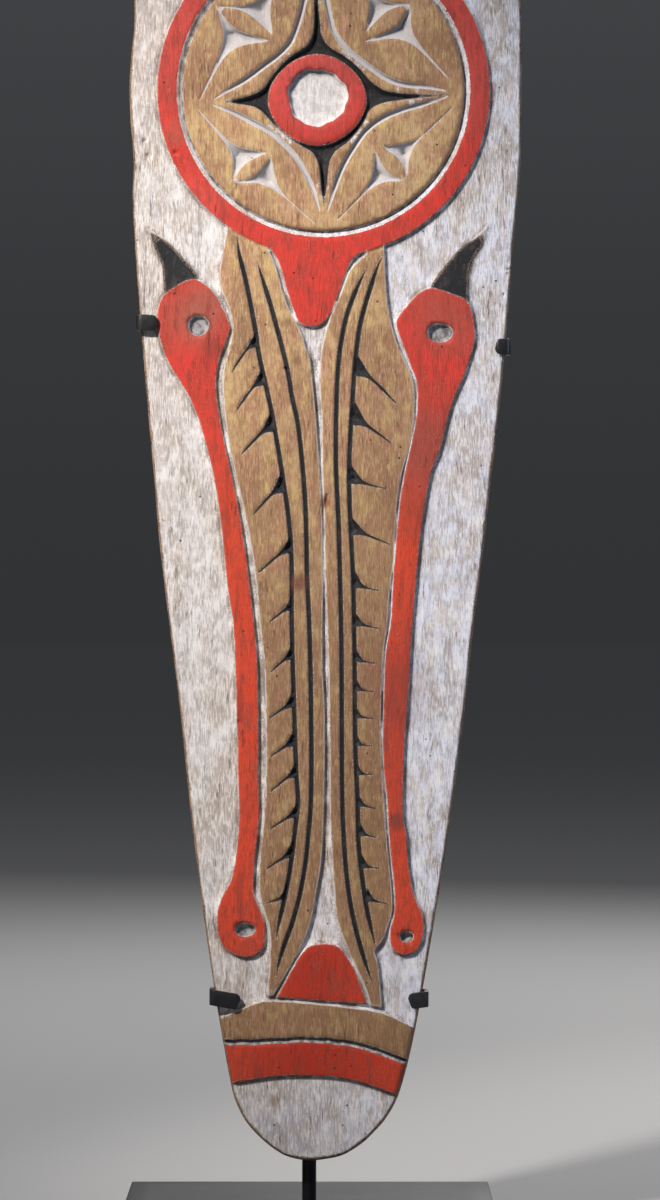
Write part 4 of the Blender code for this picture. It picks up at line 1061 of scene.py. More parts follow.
def lay_lines(drawing):
    """Gather the lines that the triangles keep to, and the rows of points beside them."""
    fixed = []
    rows = []

    def follow(line, closed, offsets=()):
        """Keep to a line, with rows of points beside it."""
        fixed.append((line, closed))
        rows.extend(offset_line(line, offset, closed) for offset in offsets)

    follow(drawing.edge, True, RIM_ROWS)
    for _, _, _, outline in drawing.forms:
        follow(outline, True, FORM_ROWS)
    for share in (0, RING_GROOVE_INNER, 1):
        follow(circle(FIELD_RADIUS + share * RING_GROOVE_WIDTH), True)
    rows += [circle(FIELD_RADIUS + share * RING_GROOVE_WIDTH) for share in RING_ROWS]
    follow(drawing.star, True, (-STAR_RUN,))
    follow(drawing.boss, True, BOSS_ROWS)
    follow(drawing.dish, True, DISH_ROWS)
    for line in drawing.star_lines:
        follow(line, False, STAR_LINE_ROWS)
    for walls, outline, apex in drawing.pits:
        for line in (*walls, *creases(walls, apex)):
            follow(line, False)
        for wall in walls:
            beside = (offset_line(wall, offset, False) for offset in PIT_ROWS)
            rows += [row[inside(row, outline)] for row in beside]
    for line in drawing.grooves:
        follow(line, False, STEM_ROWS)
    for notch in drawing.notches:
        for line in notch:
            follow(line, False)
    for line in drawing.band_grooves.values():
        follow(line, False, BAND_GROOVE_ROWS)
    for hole in drawing.holes:
        follow(hole, True, EYE_ROWS)
    for (x, y), long, short, turn, _ in CHIPS:
        ring = oval((0, 0), (long, short), 1.0)
        turn = math.radians(turn)
        spin = np.array([[math.cos(turn), math.sin(turn)], [-math.sin(turn), math.cos(turn)]])
        rows += [ring @ spin + (x, y), ring @ spin * 0.5 + (x, y)]
    return fixed, np.vstack(rows)


def make_front(drawing):
    """Build the carved front: its points, its triangles, its depth and its paints."""
    edge = drawing.edge
    fixed, rows = lay_lines(drawing)
    drawn = np.vstack([line for line, _ in fixed])
    rows = rows[on_the_board(rows, edge)]
    rows = spread_out(np.vstack([drawn, rows]), CLOSE)
    rows = rows[nearest(rows, drawn) > CLOSE * CLOSE_SHARE]
    followed = np.vstack([drawn, rows])
    loose = [rows]
    for spacing, nearer, farther in GRIDS:
        grid = hex_grid(spacing)
        grid = grid[on_the_board(grid, edge)]
        away = nearest(grid, followed)
        loose.append(grid[(away > nearer) & (away <= farther)])
    placed, faces = triangulate(fixed, np.vstack(loose), edge)
    return placed, faces, *carve(placed, drawing)


def grip_section(inner, outer, half_width):
    """Trace one cross-section of the grip, a rounded rectangle between two side points."""
    across, out = squared(np.linspace(0, 2 * math.pi, GRIP_SIDES, endpoint=False), GRIP_SQUARE)
    middle, half = (inner + outer) / 2, (outer - inner) / 2
    return np.stack([half_width * across, middle[0] + half[0] * out, middle[1] + half[1] * out],
                    axis=1)


def make_grip_sections():
    """Sweep the grip's sections from its upper foot along the bar to its lower foot."""
    sides = []
    for profile in (GRIP_INNER, GRIP_OUTER):
        line = spline(profile + [(-y, z) for y, z in profile[::-1]], 1.0)
        run = np.linspace(0, len(line) - 1, GRIP_SECTIONS)
        sides.append(np.stack([np.interp(run, np.arange(len(line)), line[:, i]) for i in (0, 1)],
                              axis=1))
    sections = []
    for i, (inner, outer) in enumerate(zip(*sides)):
        along = abs(2 * i / (GRIP_SECTIONS - 1) - 1)
        half_width = GRIP_HALF_WIDTH * (GRIP_WAIST + 0.1 * along ** 3)
        sections.append(grip_section(inner, outer, half_width))
    return sections


def make_back(rim, sections):
    """Build the flat back inside a rim, leaving room for the grip's two feet."""
    feet = [sections[0][:, :2], sections[-1][:, :2]]
    fixed = [(line, True) for line in (rim, *feet)]
    rows = [offset_line(rim, offset, True)[::2] for offset in BACK_RIM_ROWS]
    drawn = np.vstack([line for line, _ in fixed])
    rows = spread_out(np.vstack([drawn] + rows), BACK_CLOSE)
    rows = rows[nearest(rows, drawn) > BACK_CLOSE / 2]
    grid = hex_grid(BACK_GRID)
    grid = grid[on_the_board(grid, rim)]
    grid = grid[nearest(grid, np.vstack([drawn, rows])) > BACK_GRID / 2]
    placed, faces = triangulate(fixed, np.vstack([rows, grid]), rim)
    for foot in feet:
        faces = faces[~inside(placed[faces].mean(axis=1), foot)]
    brim, _ = distance(placed, rim, True)
    foot_gap = np.minimum(*(distance(placed, foot, True)[0] for foot in feet))
    adze = BACK_MARK_DEPTH + BACK_MARK_DEPTH * ripple(placed, *BACK_MARKS)
    rise = rounding(brim) + adze * np.clip(foot_gap / REACH, 0, 1) * np.clip(brim / REACH, 0, 1)
    return placed, faces, rise


def swollen(points, heights):
    """Set flat points at heights that the swell lowers towards the board's sides."""
    lowered = heights * (1 - SWELL / THICKNESS * (points[:, 0] / HALF_WIDTH) ** 2)
    return np.column_stack([points, lowered])


def board_to_world():
    """Stand the flat board up in its place, in metres."""
    centre = Vector((BOARD_PLACE[0] + HALF_LENGTH * MM * math.sin(LEAN), BOARD_PLACE[1],
                     BOARD_PLACE[2] + HALF_LENGTH * MM * math.cos(LEAN)))
    turn = Matrix.Rotation(LEAN, 4, "Y") @ Matrix.Rotation(math.pi / 2, 4, "X")
    return Matrix.Translation(centre) @ turn @ Matrix.Scale(MM, 4)


def add_piece(name, mesh, materials, replaced):
    """Put a finished mesh in the scene as a piece that stands for a node."""
    for material in materials:
        mesh.materials.append(material)
    piece = bpy.data.objects.new(name, mesh)
    bpy.context.scene.collection.objects.link(piece)
    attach(piece, "root")
    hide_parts(replaced)


def add_measure(mesh, name, values):
    """Keep a number for each point of a mesh."""
    attribute = mesh.attributes.new(name, "FLOAT", "POINT")
    attribute.data.foreach_set("value", values.astype(np.float32))


def face_outwards(mesh):
    """Turn a closed mesh's faces outwards."""
    shape = bmesh.new()
    shape.from_mesh(mesh)
    bmesh.ops.recalc_face_normals(shape, faces=shape.faces)
    if shape.calc_volume(signed=True) < 0:
        bmesh.ops.reverse_faces(shape, faces=shape.faces)
    shape.to_mesh(mesh)
    shape.free()


def make_board(paint, wood):
    """Join the carved front, the sides, the back and the grip into one closed board."""
    front, front_faces, depth, measured = make_front(Drawing())
    loop = border(front_faces)
    rim = front[loop]
    sections = make_grip_sections()
    back, back_faces, rise = make_back(rim, sections)
    points = np.vstack([swollen(front, THICKNESS - depth),
                        swollen(rim, np.full(len(rim), THICKNESS / 2)),
                        swollen(back, rise)] + sections[1:-1])
    wall_first = len(front)
    back_first = wall_first + len(rim)
    grip_first = back_first + len(back)

    tree = find_among(back)
    back_loop, upper_foot, lower_foot = ([back_first + tree.find((x, y, 0))[1] for x, y in line]
                                         for line in (rim, sections[0][:, :2], sections[-1][:, :2]))
    bars = [list(range(first, first + GRIP_SIDES))
            for first in range(grip_first, len(points), GRIP_SIDES)]
    rings = [upper_foot] + bars + [lower_foot]

    faces = front_faces.tolist()
    for i, here in enumerate(loop):
        j = (i + 1) % len(loop)
        faces.append((here, wall_first + i, wall_first + j, loop[j]))
        faces.append((wall_first + i, back_loop[i], back_loop[j], wall_first + j))
    faces += (back_first + back_faces[:, ::-1]).tolist()
    for ring, following in zip(rings, rings[1:]):
        for i in range(GRIP_SIDES):
            j = (i + 1) % GRIP_SIDES
            faces.append((ring[i], ring[j], following[j], following[i]))

    mesh = bpy.data.meshes.new("shield")
    mesh.from_pydata(points.tolist(), [], faces)
    for name, values in measured.items():
        whole = np.full(len(points), 0.0 if name == "brim" else -REACH)
        whole[:len(front)] = values
        add_measure(mesh, name, whole)
    bare = len(faces) - len(front_faces)
    mesh.polygons.foreach_set("material_index", [0] * len(front_faces) + [1] * bare)
    mesh.polygons.foreach_set("use_smooth", [True] * len(faces))
    face_outwards(mesh)
    mesh.transform(board_to_world())
    mesh.update()
    normals = np.empty(3 * len(mesh.vertices), np.float32)
    mesh.vertices.foreach_get("normal", normals)
    # How far each point faces away from the key light, for the painted shade
    add_measure(mesh, "lee", normals.reshape(-1, 3) @ np.array(SHADE_SIDE_FACING, np.float32))
    add_piece("shield", mesh, (paint, wood), "shield_board")


def feed(tree, socket, value):
    """Link another node's output to a socket, or set the socket to a plain value."""
    if isinstance(value, bpy.types.NodeSocket):
        tree.links.new(value, socket)
    elif isinstance(value, tuple) and len(value) == 3 and socket.type == "RGBA":
        socket.default_value = (*value, 1)
    else:
        socket.default_value = value


class Finish:
    """A surface finish written as layers of tints over patterns, in the object's own metres."""

    def __init__(self, name, noises):
        """Start a material with its patterns: each noise by its name."""
        self.material = bpy.data.materials.new(name)
        self.material.use_nodes = True
        self.tree = self.material.node_tree
        self.shader = self.tree.nodes["Principled BSDF"]
        self.place = self.tree.nodes.new("ShaderNodeTexCoord").outputs["Object"]
        self.patterns = {pattern: self.noise(*settings) for pattern, settings in noises.items()}

    def along_grain(self, stretch):
        """Read the place with the upright direction pressed together, for long strokes."""
        node = self.tree.nodes.new("ShaderNodeMapping")
        node.inputs["Scale"].default_value = (1, 1, 1 / stretch)
        feed(self.tree, node.inputs["Vector"], self.place)
        return node.outputs["Vector"]

    def noise(self, size, stretch, detail, rough, warp):
        """Give soft noise with features of a size in millimetres."""
        node = self.tree.nodes.new("ShaderNodeTexNoise")
        place = self.place if stretch == 1 else self.along_grain(stretch)
        for name, value in (("Vector", place), ("Scale", 1 / (size * MM)), ("Detail", float(detail)),
                            ("Roughness", rough), ("Distortion", warp)):
            feed(self.tree, node.inputs[name], value)
        return node.outputs["Fac"]

    def spots(self, size):
        """Give the distance to scattered points that are a size in millimetres apart."""
        node = self.tree.nodes.new("ShaderNodeTexVoronoi")
        feed(self.tree, node.inputs["Vector"], self.place)
        feed(self.tree, node.inputs["Scale"], 1 / (size * MM))
        return node.outputs["Distance"]

    def distance_to(self, x, y):
        """Give how far a place is from a point drawn on the front, in metres."""
        node = self.tree.nodes.new("ShaderNodeVectorMath")
        node.operation = "DISTANCE"
        feed(self.tree, node.inputs[0], self.place)
        node.inputs[1].default_value = board_to_world() @ Vector((x, y, THICKNESS - 1))
        return node.outputs["Value"]

    def coordinate(self, axis):
        """Give a place's X, to the right of the middle, or its Z, above the stand's foot."""
        node = self.tree.nodes.new("ShaderNodeSeparateXYZ")
        feed(self.tree, node.inputs[0], self.place)
        return node.outputs[axis]

    def drawn(self, name):
        """Read one of the measures that the mesh keeps at each point."""
        node = self.tree.nodes.new("ShaderNodeAttribute")
        node.attribute_name = name
        return node.outputs["Fac"]

    def sum(self, operation, *values):
        """Do one sum with sockets or numbers."""
        node = self.tree.nodes.new("ShaderNodeMath")
        node.operation = operation
        for socket, value in zip(node.inputs, values):
            feed(self.tree, socket, value)
        return node.outputs[0]

    def times(self, first, second):
        """Multiply two values."""
        return self.sum("MULTIPLY", first, second)

    def plus(self, first, second):
        """Add two values."""
        return self.sum("ADD", first, second)

    def minus(self, first, second):
        """Take a second value from a first."""
        return self.sum("SUBTRACT", first, second)

    def scaled(self, value, factor, shift):
        """Multiply a value by a factor and add a shift."""
        return self.sum("MULTIPLY_ADD", value, factor, shift)

    def step(self, value, low, high):
        """Go softly from 0 to 1 as a value goes from low to high."""
        node = self.tree.nodes.new("ShaderNodeMapRange")
        node.interpolation_type = "SMOOTHSTEP"
        falls = high < low
        for name, number in (("Value", value), ("From Min", min(low, high)),
                             ("From Max", max(low, high)), ("To Min", float(falls)),
                             ("To Max", float(not falls))):
            feed(self.tree, node.inputs[name], number)
        return node.outputs["Result"]

    def mix(self, share, first, second):
        """Lay a second colour over a first one by a share."""
        node = self.tree.nodes.new("ShaderNodeMix")
        node.data_type = "RGBA"
        feed(self.tree, node.inputs[0], share)
        feed(self.tree, node.inputs[6], first)
        feed(self.tree, node.inputs[7], second)
        return node.outputs[2]

    def layer(self, colour, tint, share, value, *limits):
        """Lay a tint over a colour by a share, where a value is high or is between limits."""
        shown = self.step(value, *limits) if limits else value
        return self.mix(self.times(shown, share), colour, tint)

    def layers(self, colour, layers):
        """Lay a list of tints over a colour, each where its pattern shows it."""
        for tint, share, pattern, *limits in layers:
            colour = self.layer(colour, tint, share, self.patterns[pattern], *limits)
        return colour

    def dabs(self, colour, dabs, uneven, reach):
        """Lay round dabs of tint over a colour, with uneven edges."""
        outer, inner = reach
        for x, y, radius, share, tint in dabs:
            away = self.plus(self.distance_to(x, y), self.times(uneven, radius * MM))
            colour = self.layer(colour, tint, share, away, outer * radius * MM, inner * radius * MM)
        return colour

    def paint(self, colour, ground, dabs, wear):
        """Lay a paint: its ground, its broad tints and its wear."""
        colour = self.layers(colour, ground)
        colour = self.dabs(colour, dabs, self.patterns["cloud"], TINT_REACH)
        return self.layers(colour, wear)

    def close(self, colour, roughness, relief, relief_height, specular):
        """Join colour, roughness and fine relief to the shader."""
        feed(self.tree, self.shader.inputs["Base Color"], colour)
        feed(self.tree, self.shader.inputs["Roughness"], roughness)
        self.shader.inputs["Specular IOR Level"].default_value = specular
        node = self.tree.nodes.new("ShaderNodeBump")
        node.inputs["Strength"].default_value = 1.0
        node.inputs["Distance"].default_value = relief_height * MM
        feed(self.tree, node.inputs["Height"], relief)
        feed(self.tree, self.shader.inputs["Normal"], node.outputs["Normal"])
        return self.material


def gather_wear(f):
    """Add the patterns of wear, soot and painted shade to the paint's noises."""
    p = f.patterns
    p["across"], p["height"] = f.coordinate("X"), f.coordinate("Z")
    p["apart"], p["from_dish"] = f.drawn("apart"), f.distance_to(*DISH_CENTRE)
    # Painted shade: walls that face right and down, away from the key light, are darkened in each
    # paint, in patches on the white
    p["lee"] = f.step(f.drawn("lee"), 0.08, 0.42)
    p["uneven_lee"] = f.times(p["lee"], f.scaled(f.step(p["blot"], 0.40, 0.60), 0.5, 0.35))
    # Painted shade: the ochre darkens towards the bottom of the board and on its right side
    p["shade"] = f.scaled(f.step(p["height"], 0.66, 0.36), 0.30,
                          f.times(f.step(p["across"], 0.0, 0.06), 0.14))

    # Where the paint is thin, the dark grain shows through in short upright strokes
    thin = f.plus(f.times(p["patch"], 0.5), f.times(p["cloud"], 0.5))
    worn = f.plus(p["fibre"], f.scaled(thin, 0.8, -0.4))
    p["strokes"] = f.step(f.plus(f.times(worn, 0.7), f.times(p["strand"], 0.3)), 0.48, 0.58)
    p["dark_strokes"] = f.step(f.plus(f.times(p["strand"], 0.55), f.times(worn, 0.45)), 0.60, 0.67)
    p["bright"] = f.step(f.plus(p["fibre"], f.scaled(p["blot"], 0.5, -0.25)), 0.50, 0.37)
    p["freckles"] = f.step(f.plus(p["grit"], f.scaled(p["patch"], 0.5, -0.25)), 0.60, 0.70)

    # The upper edges of the forms are rubbed: from where to where, and by which noise
    for name, outer, inner, noise, low, high in (("arris", 1.1, 0.3, "blot", 0.40, 0.52),
                                                 ("scuff", 1.5, 0.0, "grit", 0.46, 0.60),
                                                 ("rubbed", 1.8, 0.3, "grit", 0.42, 0.55)):
        p[name] = f.times(f.step(p["apart"], outer, inner), f.step(p[noise], low, high))


def worn_to_the_rim(f, colour, waver):
    """Wear the rim to brown wood, most of all near the tips."""
    p = f.patterns
    brim = f.drawn("brim")
    tip = f.step(f.sum("ABSOLUTE", f.minus(p["height"], 0.806)), 0.66, 0.75)
    uneven = f.plus(f.plus(brim, f.times(p["patch"], 7.0)), f.times(p["grit"], 2.0))
    rim = f.layers(RIM_BROWN, RIM_WEAR)
    colour = f.layer(colour, rim, 0.85, f.minus(uneven, f.plus(tip, 1.0)), 5.2, 4.2)
    return f.layer(colour, rim, 0.9, f.plus(brim, waver), 1.9, 0.6)


def painted_wood():
    """Chalky white, red, ochre and black paint, worn over upright grain, with painted shade on the
    walls that face away from the light and in the recesses.
    """
    f = Finish("painted_wood", PAINT_NOISES)
    gather_wear(f)
    p = f.patterns
    chalk = f.paint(CHALK, CHALK_GROUND, CHALK_PATCHES, CHALK_WEAR)
    ochre = f.paint(OCHRE, OCHRE_GROUND, OCHRE_PATCHES, OCHRE_WEAR)
    red = f.paint(RED, RED_GROUND, RED_PATCHES, RED_WEAR)
    soot = f.layers(BLACK, SOOT_WEAR)
    cut = f.layers(CUT_GREY, CUT_WEAR)
    shade_grey = f.layers(SLATE_SHADE, SHADE_WEAR)

    # Grime and painted shade gather at the foot of the walls, in patches
    foot = f.times(f.step(p["apart"], -3.6, -1.3), f.step(p["apart"], 0.2, -0.5))
    foot_patches = f.step(f.plus(p["patch"], f.scaled(p["grit"], 0.6, -0.3)), 0.38, 0.62)
    colour = f.layer(chalk, GRIME_AND_SHADE, 0.7, f.times(foot, foot_patches))

    # One paint lies over another, each with an uneven edge; the last is the grey painted shade of the
    # recesses
    waver = f.plus(f.scaled(p["grit"], 1.4, -0.7), f.scaled(p["blot"], 1.2, -0.6))
    for name, paint, soft in (("gold", ochre, 0.4), ("red", red, 0.3), ("pale", cut, 0.4),
                              ("dim", shade_grey, 0.6)):
        edge = f.plus(f.drawn(name), waver)
        colour = f.mix(f.step(edge, -soft / 2, soft / 2), colour, paint)
    soot_edge = f.plus(f.drawn("black"), f.times(waver, 0.6))
    colour = f.layer(colour, STAIN, 0.45, soot_edge, -1.3, -0.1)
    flecks = f.times(f.step(soot_edge, -1.0, -0.5), f.step(p["grit"], 0.555, 0.60))
    colour = f.layer(colour, CHALK_CREAM, 0.6, flecks)
    colour = f.mix(f.step(soot_edge, -0.3, 0.25), colour, soot)
    pins = f.times(f.step(f.spots(13), 0.066, 0.040), f.step(p["patch"], 0.38, 0.50))
    colour = f.layer(colour, BLACK, 0.9, pins)
    colour = f.dabs(colour, STAINS, p["blot"], STAIN_REACH)
    colour = worn_to_the_rim(f, colour, waver)

    relief = f.plus(f.times(p["fibre"], 0.8), f.times(p["grit"], 0.5))
    relief = f.minus(f.minus(relief, f.times(p["dark_strokes"], 0.5)), pins)
    return f.close(colour, f.scaled(p["blot"], 0.3, 0.52), relief, relief_height=0.55, specular=0.35)


def bare_wood():
    """Old unpainted wood with upright grain, darker where hands and dust have been."""
    f = Finish("bare_wood", WOOD_NOISES)
    p = f.patterns
    relief = f.plus(p["strand"], f.times(p["grain"], 0.6))
    return f.close(f.layers(WOOD, WOOD_WEAR), f.scaled(p["patch"], 0.25, 0.6), relief,
                   relief_height=0.5, specular=0.3)


def black_steel(name, size, shine):
    """Black painted steel with faint unevenness and slight rubbing."""
    f = Finish(name, {"cloud": (size, 1, 5, 0.6, 0.0), "fine": (0.7, 1, 3, 0.6, 0.0)})
    p = f.patterns
    return f.close(f.layers(STEEL_BLACK, STEEL_WEAR), f.scaled(p["cloud"], 0.25, shine), p["fine"],
                   relief_height=0.06, specular=0.5)


def lathe(profile, sides):
    """Turn a profile of (radius, height) about the upright axis, closing it where it meets it."""
    shape = bmesh.new()
    rings = []
    for radius, height in profile:
        turns = [2 * math.pi * i / sides for i in range(sides)] if radius else [0]
        rings.append([shape.verts.new((radius * math.cos(turn), radius * math.sin(turn), height))
                      for turn in turns])
    for low, high in zip(rings, rings[1:]):
        for i in range(sides):
            j = (i + 1) % sides
            corners = [low[i % len(low)], low[j % len(low)], high[j % len(high)], high[i % len(high)]]
            shape.faces.new(list(dict.fromkeys(corners)))
    bmesh.ops.recalc_face_normals(shape, faces=shape.faces)
    return shape


def settle(shape, mesh, sharp):
    """Put a finished shape in its mesh, smooth but for edges sharper than an angle in degrees."""
    shape.to_mesh(mesh)
    shape.free()
    mesh.shade_smooth()
    mesh.set_sharp_from_angle(angle=math.radians(sharp))


def make_post(material):
    """Make the upright rod, with a softened top."""
    low, high = (corner[2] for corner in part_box("stand_post"))
    r = POST_RADIUS
    profile = [(0, low), (r - 0.4 * MM, low), (r, low + 0.4 * MM), (r, (low + high) / 2),
               (r, high - 0.8 * MM), (r - 0.3 * MM, high - 0.25 * MM), (r - 0.9 * MM, high), (0, high)]
    mesh = bpy.data.meshes.new("post")
    settle(lathe(profile, POST_SIDES), mesh, 50)
    add_piece("post", mesh, (material,), "stand_post")


def make_base(material):
    """Make the flat base with eased edges."""
    low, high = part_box("stand_base")
    shape = bmesh.new()
    bmesh.ops.create_cube(shape, size=1)
    bmesh.ops.scale(shape, verts=shape.verts, vec=[b - a for a, b in zip(low, high)])
    bmesh.ops.translate(shape, verts=shape.verts, vec=[(a + b) / 2 for a, b in zip(low, high)])
    bmesh.ops.bevel(shape, geom=shape.edges[:], offset=BASE_BEVEL, segments=BASE_BEVEL_PARTS,
                    profile=0.5, affect="EDGES")
    top = max(shape.faces, key=lambda face: face.calc_center_median().z + face.calc_area())
    bmesh.ops.inset_individual(shape, faces=[top], thickness=BASE_INSET)
    mesh = bpy.data.meshes.new("base")
    settle(shape, mesh, 40)
    add_piece("base", mesh, (material,), "stand_base")


def cradle_path(left, middle, right):
    """Trace the middle of a cradle's strip, from one prong's tip behind the board to the other's."""
    half = STRIP_THICKNESS / 2
    back = -FIT_GAP - half
    arms = []
    for (edge, height, tip, level), side in ((left, -1), (right, 1)):
        slope = (middle[1] - height) / (middle[0] - edge)
        out = edge + side * half
        arm = [(tip, level + half), (out, level + half), (out, back)]
        arms.append([(x, height + (x - edge) * slope, z) for x, z in arm])
    place = board_to_world()
    path = arms[0] + [(middle[0], middle[1], back)] + arms[1][::-1]
    return [place @ Vector(point) for point in path]


def strip_tree(material):
    """Build the node tree that bends flat strip along a path and rounds the tips of its prongs."""
    tree = bpy.data.node_groups.new("bent_strip", "GeometryNodeTree")
    tree.interface.new_socket("Geometry", in_out="INPUT", socket_type="NodeSocketGeometry")
    sockets = {name: tree.interface.new_socket(name, in_out="INPUT",
                                               socket_type="NodeSocketFloat").identifier
               for name in ("Strip Width", "Strip Thickness", "Bend Radius", "Tip Round")}
    tree.interface.new_socket("Geometry", in_out="OUTPUT", socket_type="NodeSocketGeometry")
    given = tree.nodes.new("NodeGroupInput").outputs
    width, tip = given["Strip Width"], given["Tip Round"]

    def node(kind, *values, **settings):
        """Add a node with its settings, and feed its inputs."""
        made = tree.nodes.new(kind)
        for key, value in settings.items():
            setattr(made, key, value)
        for socket, value in values:
            feed(tree, made.inputs[socket], value)
        return made

    def sum_of(operation, a, b=0.0):
        """Do one sum with sockets or numbers."""
        return node("ShaderNodeMath", (0, a), (1, b), operation=operation).outputs[0]

    def fillet(curve, radius, parts):
        """Round a curve's corners."""
        return node("GeometryNodeFilletCurve", ("Curve", curve.outputs[0]), ("Radius", radius),
                    ("Count", parts), mode="POLY")

    line = node("GeometryNodeMeshToCurve", ("Mesh", given["Geometry"]))
    bent = fillet(line, given["Bend Radius"], 8)
    even = node("GeometryNodeResampleCurve", ("Curve", bent.outputs[0]), ("Length", STRIP_STEP * MM),
                mode="LENGTH")
    upright = node("GeometryNodeSetCurveNormal", ("Curve", even.outputs[0]), mode="Z_UP")
    kept = node("GeometryNodeCaptureAttribute", ("Geometry", upright.outputs[0]))
    spot = node("GeometryNodeInputPosition").outputs[0]
    for kind, name, value in (("VECTOR", "Middle", spot),
                              ("FLOAT", "Run", node("GeometryNodeSplineParameter").outputs["Length"]),
                              ("FLOAT", "Whole", node("GeometryNodeSplineLength").outputs["Length"])):
        kept.capture_items.new(kind, name)
        feed(tree, kept.inputs[name], value)
    middle, run, whole = (kept.outputs[name] for name in ("Middle", "Run", "Whole"))
    section = node("GeometryNodeCurvePrimitiveQuadrilateral", ("Width", given["Strip Thickness"]),
                   ("Height", width))
    swept = node("GeometryNodeCurveToMesh", ("Curve", kept.outputs["Geometry"]),
                 ("Profile Curve", fillet(section, STRIP_EDGE_ROUND * MM, 3).outputs[0]),
                 ("Fill Caps", True))
    to_end = sum_of("MINIMUM", run, sum_of("SUBTRACT", whole, run))
    short = sum_of("SUBTRACT", tip, sum_of("MINIMUM", to_end, tip))
    round_part = sum_of("SUBTRACT", sum_of("MULTIPLY", tip, tip), sum_of("MULTIPLY", short, short))
    loss = sum_of("SUBTRACT", tip, sum_of("SQRT", sum_of("MAXIMUM", round_part, 0.0)))
    keep = sum_of("SUBTRACT", 1.0, sum_of("DIVIDE", loss, sum_of("MULTIPLY", width, 0.5)))
    off = node("ShaderNodeVectorMath", (0, spot), (1, middle), operation="SUBTRACT")
    parts = node("ShaderNodeSeparateXYZ", (0, off.outputs[0])).outputs
    narrowed = node("ShaderNodeCombineXYZ", ("X", parts["X"]), ("Y", parts["Y"]),
                    ("Z", sum_of("MULTIPLY", parts["Z"], keep)))
    final = node("ShaderNodeVectorMath", (0, middle), (1, narrowed.outputs[0]), operation="ADD")
    shaped = node("GeometryNodeSetPosition", ("Geometry", swept.outputs[0]),
                  ("Position", final.outputs[0]))
    real = node("GeometryNodeRealizeInstances", ("Geometry", shaped.outputs[0]))
    dressed = node("GeometryNodeSetMaterial", ("Geometry", real.outputs[0]), ("Material", material))
    node("NodeGroupOutput", ("Geometry", dressed.outputs[0]))
    return tree, sockets


def make_cradle(name, arms, tree, sockets, material):
    """Bend one cradle from flat strip round both edges of the board."""
    path = bpy.data.meshes.new(f"{name}_path")
    points = cradle_path(*arms)
    path.from_pydata(points, [(i, i + 1) for i in range(len(points) - 1)], [])
    bender = bpy.data.objects.new(f"{name}_path", path)
    bpy.context.scene.collection.objects.link(bender)
    modifier = bender.modifiers.new("bent_strip", "NODES")
    modifier.node_group = tree
    for socket, size in (("Strip Width", STRIP_WIDTH), ("Strip Thickness", STRIP_THICKNESS),
                         ("Bend Radius", BEND_RADIUS), ("Tip Round", TIP_ROUND)):
        modifier[sockets[socket]] = size * MM
    bpy.context.view_layer.update()
    evaluated = bender.evaluated_get(bpy.context.evaluated_depsgraph_get())
    mesh = bpy.data.meshes.new_from_object(evaluated)
    bender.modifiers.remove(modifier)
    bpy.data.objects.remove(bender, do_unlink=True)
    shape = bmesh.new()
    shape.from_mesh(mesh)
    bmesh.ops.remove_doubles(shape, verts=shape.verts, dist=MM * MM)
    bmesh.ops.recalc_face_normals(shape, faces=shape.faces)
    settle(shape, mesh, 50)
    mesh.name = name
    mesh.materials.clear()
    add_piece(f"{name}_strip", mesh, (material,), name)


def hang(name, data, place, target, power, colour):
    """Hang a lamp so that it faces a point."""
    data.energy = power
    data.color = colour
    lamp = bpy.data.objects.new(name, data)
    lamp.location = place
    lamp.rotation_euler = (Vector(target) - Vector(place)).to_track_quat("-Z", "Y").to_euler()
    bpy.context.scene.collection.objects.link(lamp)
    return lamp


def add_light(name, place, target, size, power, colour, spread):
    """Hang a soft square light that faces a point."""
    data = bpy.data.lights.new(name, "AREA")
    data.size = size
    data.spread = math.radians(spread)
    hang(name, data, place, target, power, colour).visible_camera = False


def add_spot(name, place, target, radius, power, colour, cone):
    """Hang a hooded lamp whose light fades out softly towards the edge of its cone."""
    data = bpy.data.lights.new(name, "SPOT")
    data.shadow_soft_size = radius
    data.spot_size = math.radians(cone)
    data.spot_blend = 1.0
    hang(name, data, place, target, power, colour)


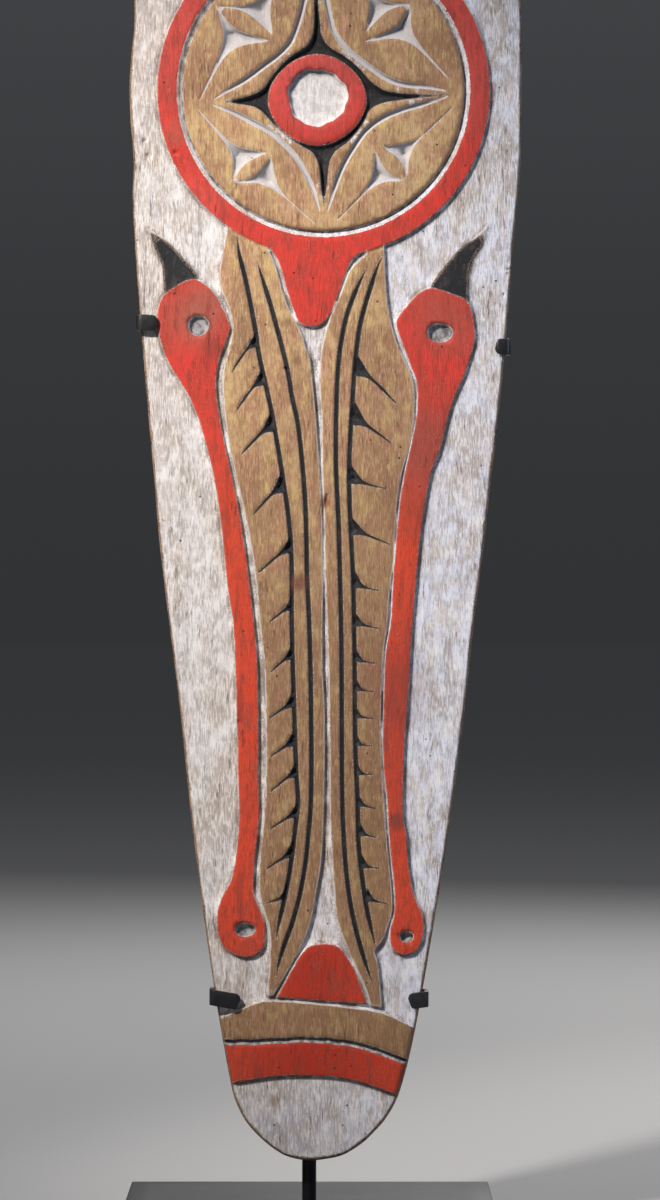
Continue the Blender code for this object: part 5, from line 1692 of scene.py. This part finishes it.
def make_stage():
    """Lay a wide, plain, pale floor."""
    mesh = bpy.data.meshes.new("pale_floor")
    mesh.from_pydata([(x * FLOOR_REACH, y * FLOOR_REACH, 0)
                      for x, y in ((-1, -1), (1, -1), (1, 1), (-1, 1))], [], [(0, 1, 2, 3)])
    material = bpy.data.materials.new("pale_floor")
    material.use_nodes = True
    shader = material.node_tree.nodes["Principled BSDF"]
    shader.inputs["Base Color"].default_value = (*FLOOR, 1)
    shader.inputs["Roughness"].default_value = FLOOR_ROUGHNESS
    mesh.materials.append(material)
    floor = bpy.data.objects.new("pale_floor", mesh)
    bpy.context.scene.collection.objects.link(floor)


def make_surroundings():
    """Surround the scene with soft grey, darker towards the floor's far edge."""
    world = bpy.data.worlds.new("studio")
    bpy.context.scene.world = world
    world.use_nodes = True
    tree = world.node_tree
    place = tree.nodes.new("ShaderNodeTexCoord")
    split = tree.nodes.new("ShaderNodeSeparateXYZ")
    tree.links.new(place.outputs["Generated"], split.inputs[0])
    rise = tree.nodes.new("ShaderNodeMapRange")
    rise.interpolation_type = "SMOOTHSTEP"
    for name, value in (("Value", split.outputs["Z"]), ("From Min", 0.0), ("From Max", SKY_RISE),
                        ("To Min", SKY_LOW), ("To Max", SKY_HIGH)):
        feed(tree, rise.inputs[name], value)
    background = tree.nodes["Background"]
    background.inputs["Color"].default_value = SKY_TINT
    tree.links.new(rise.outputs["Result"], background.inputs["Strength"])


def make_camera():
    """Stand the camera where the photograph's was."""
    data = bpy.data.cameras.new("camera")
    data.lens = CAMERA_LENS
    data.sensor_width = CAMERA_SENSOR
    camera = bpy.data.objects.new("camera", data)
    camera.location = CAMERA_PLACE
    camera.rotation_euler = (math.pi / 2, 0, 0)
    bpy.context.scene.collection.objects.link(camera)
    bpy.context.scene.camera = camera


make_camera()
make_board(painted_wood(), bare_wood())
make_post(black_steel("post_steel", 30, 0.3))
make_base(black_steel("base_steel", 60, 0.4))
strip_steel = black_steel("cradle_steel", 8, 0.3)
bent_strip, strip_sockets = strip_tree(strip_steel)
for cradle, arms in (("upper_cradle", UPPER_CRADLE), ("lower_cradle", LOWER_CRADLE)):
    make_cradle(cradle, arms, bent_strip, strip_sockets, strip_steel)
make_stage()
for spot in SPOTS:
    add_spot(*spot)
for soft_light in SOFT_LIGHTS:
    add_light(*soft_light)
make_surroundings()

bpy.context.scene.view_settings.view_transform = "Standard"
bpy.context.scene.view_settings.look = "None"
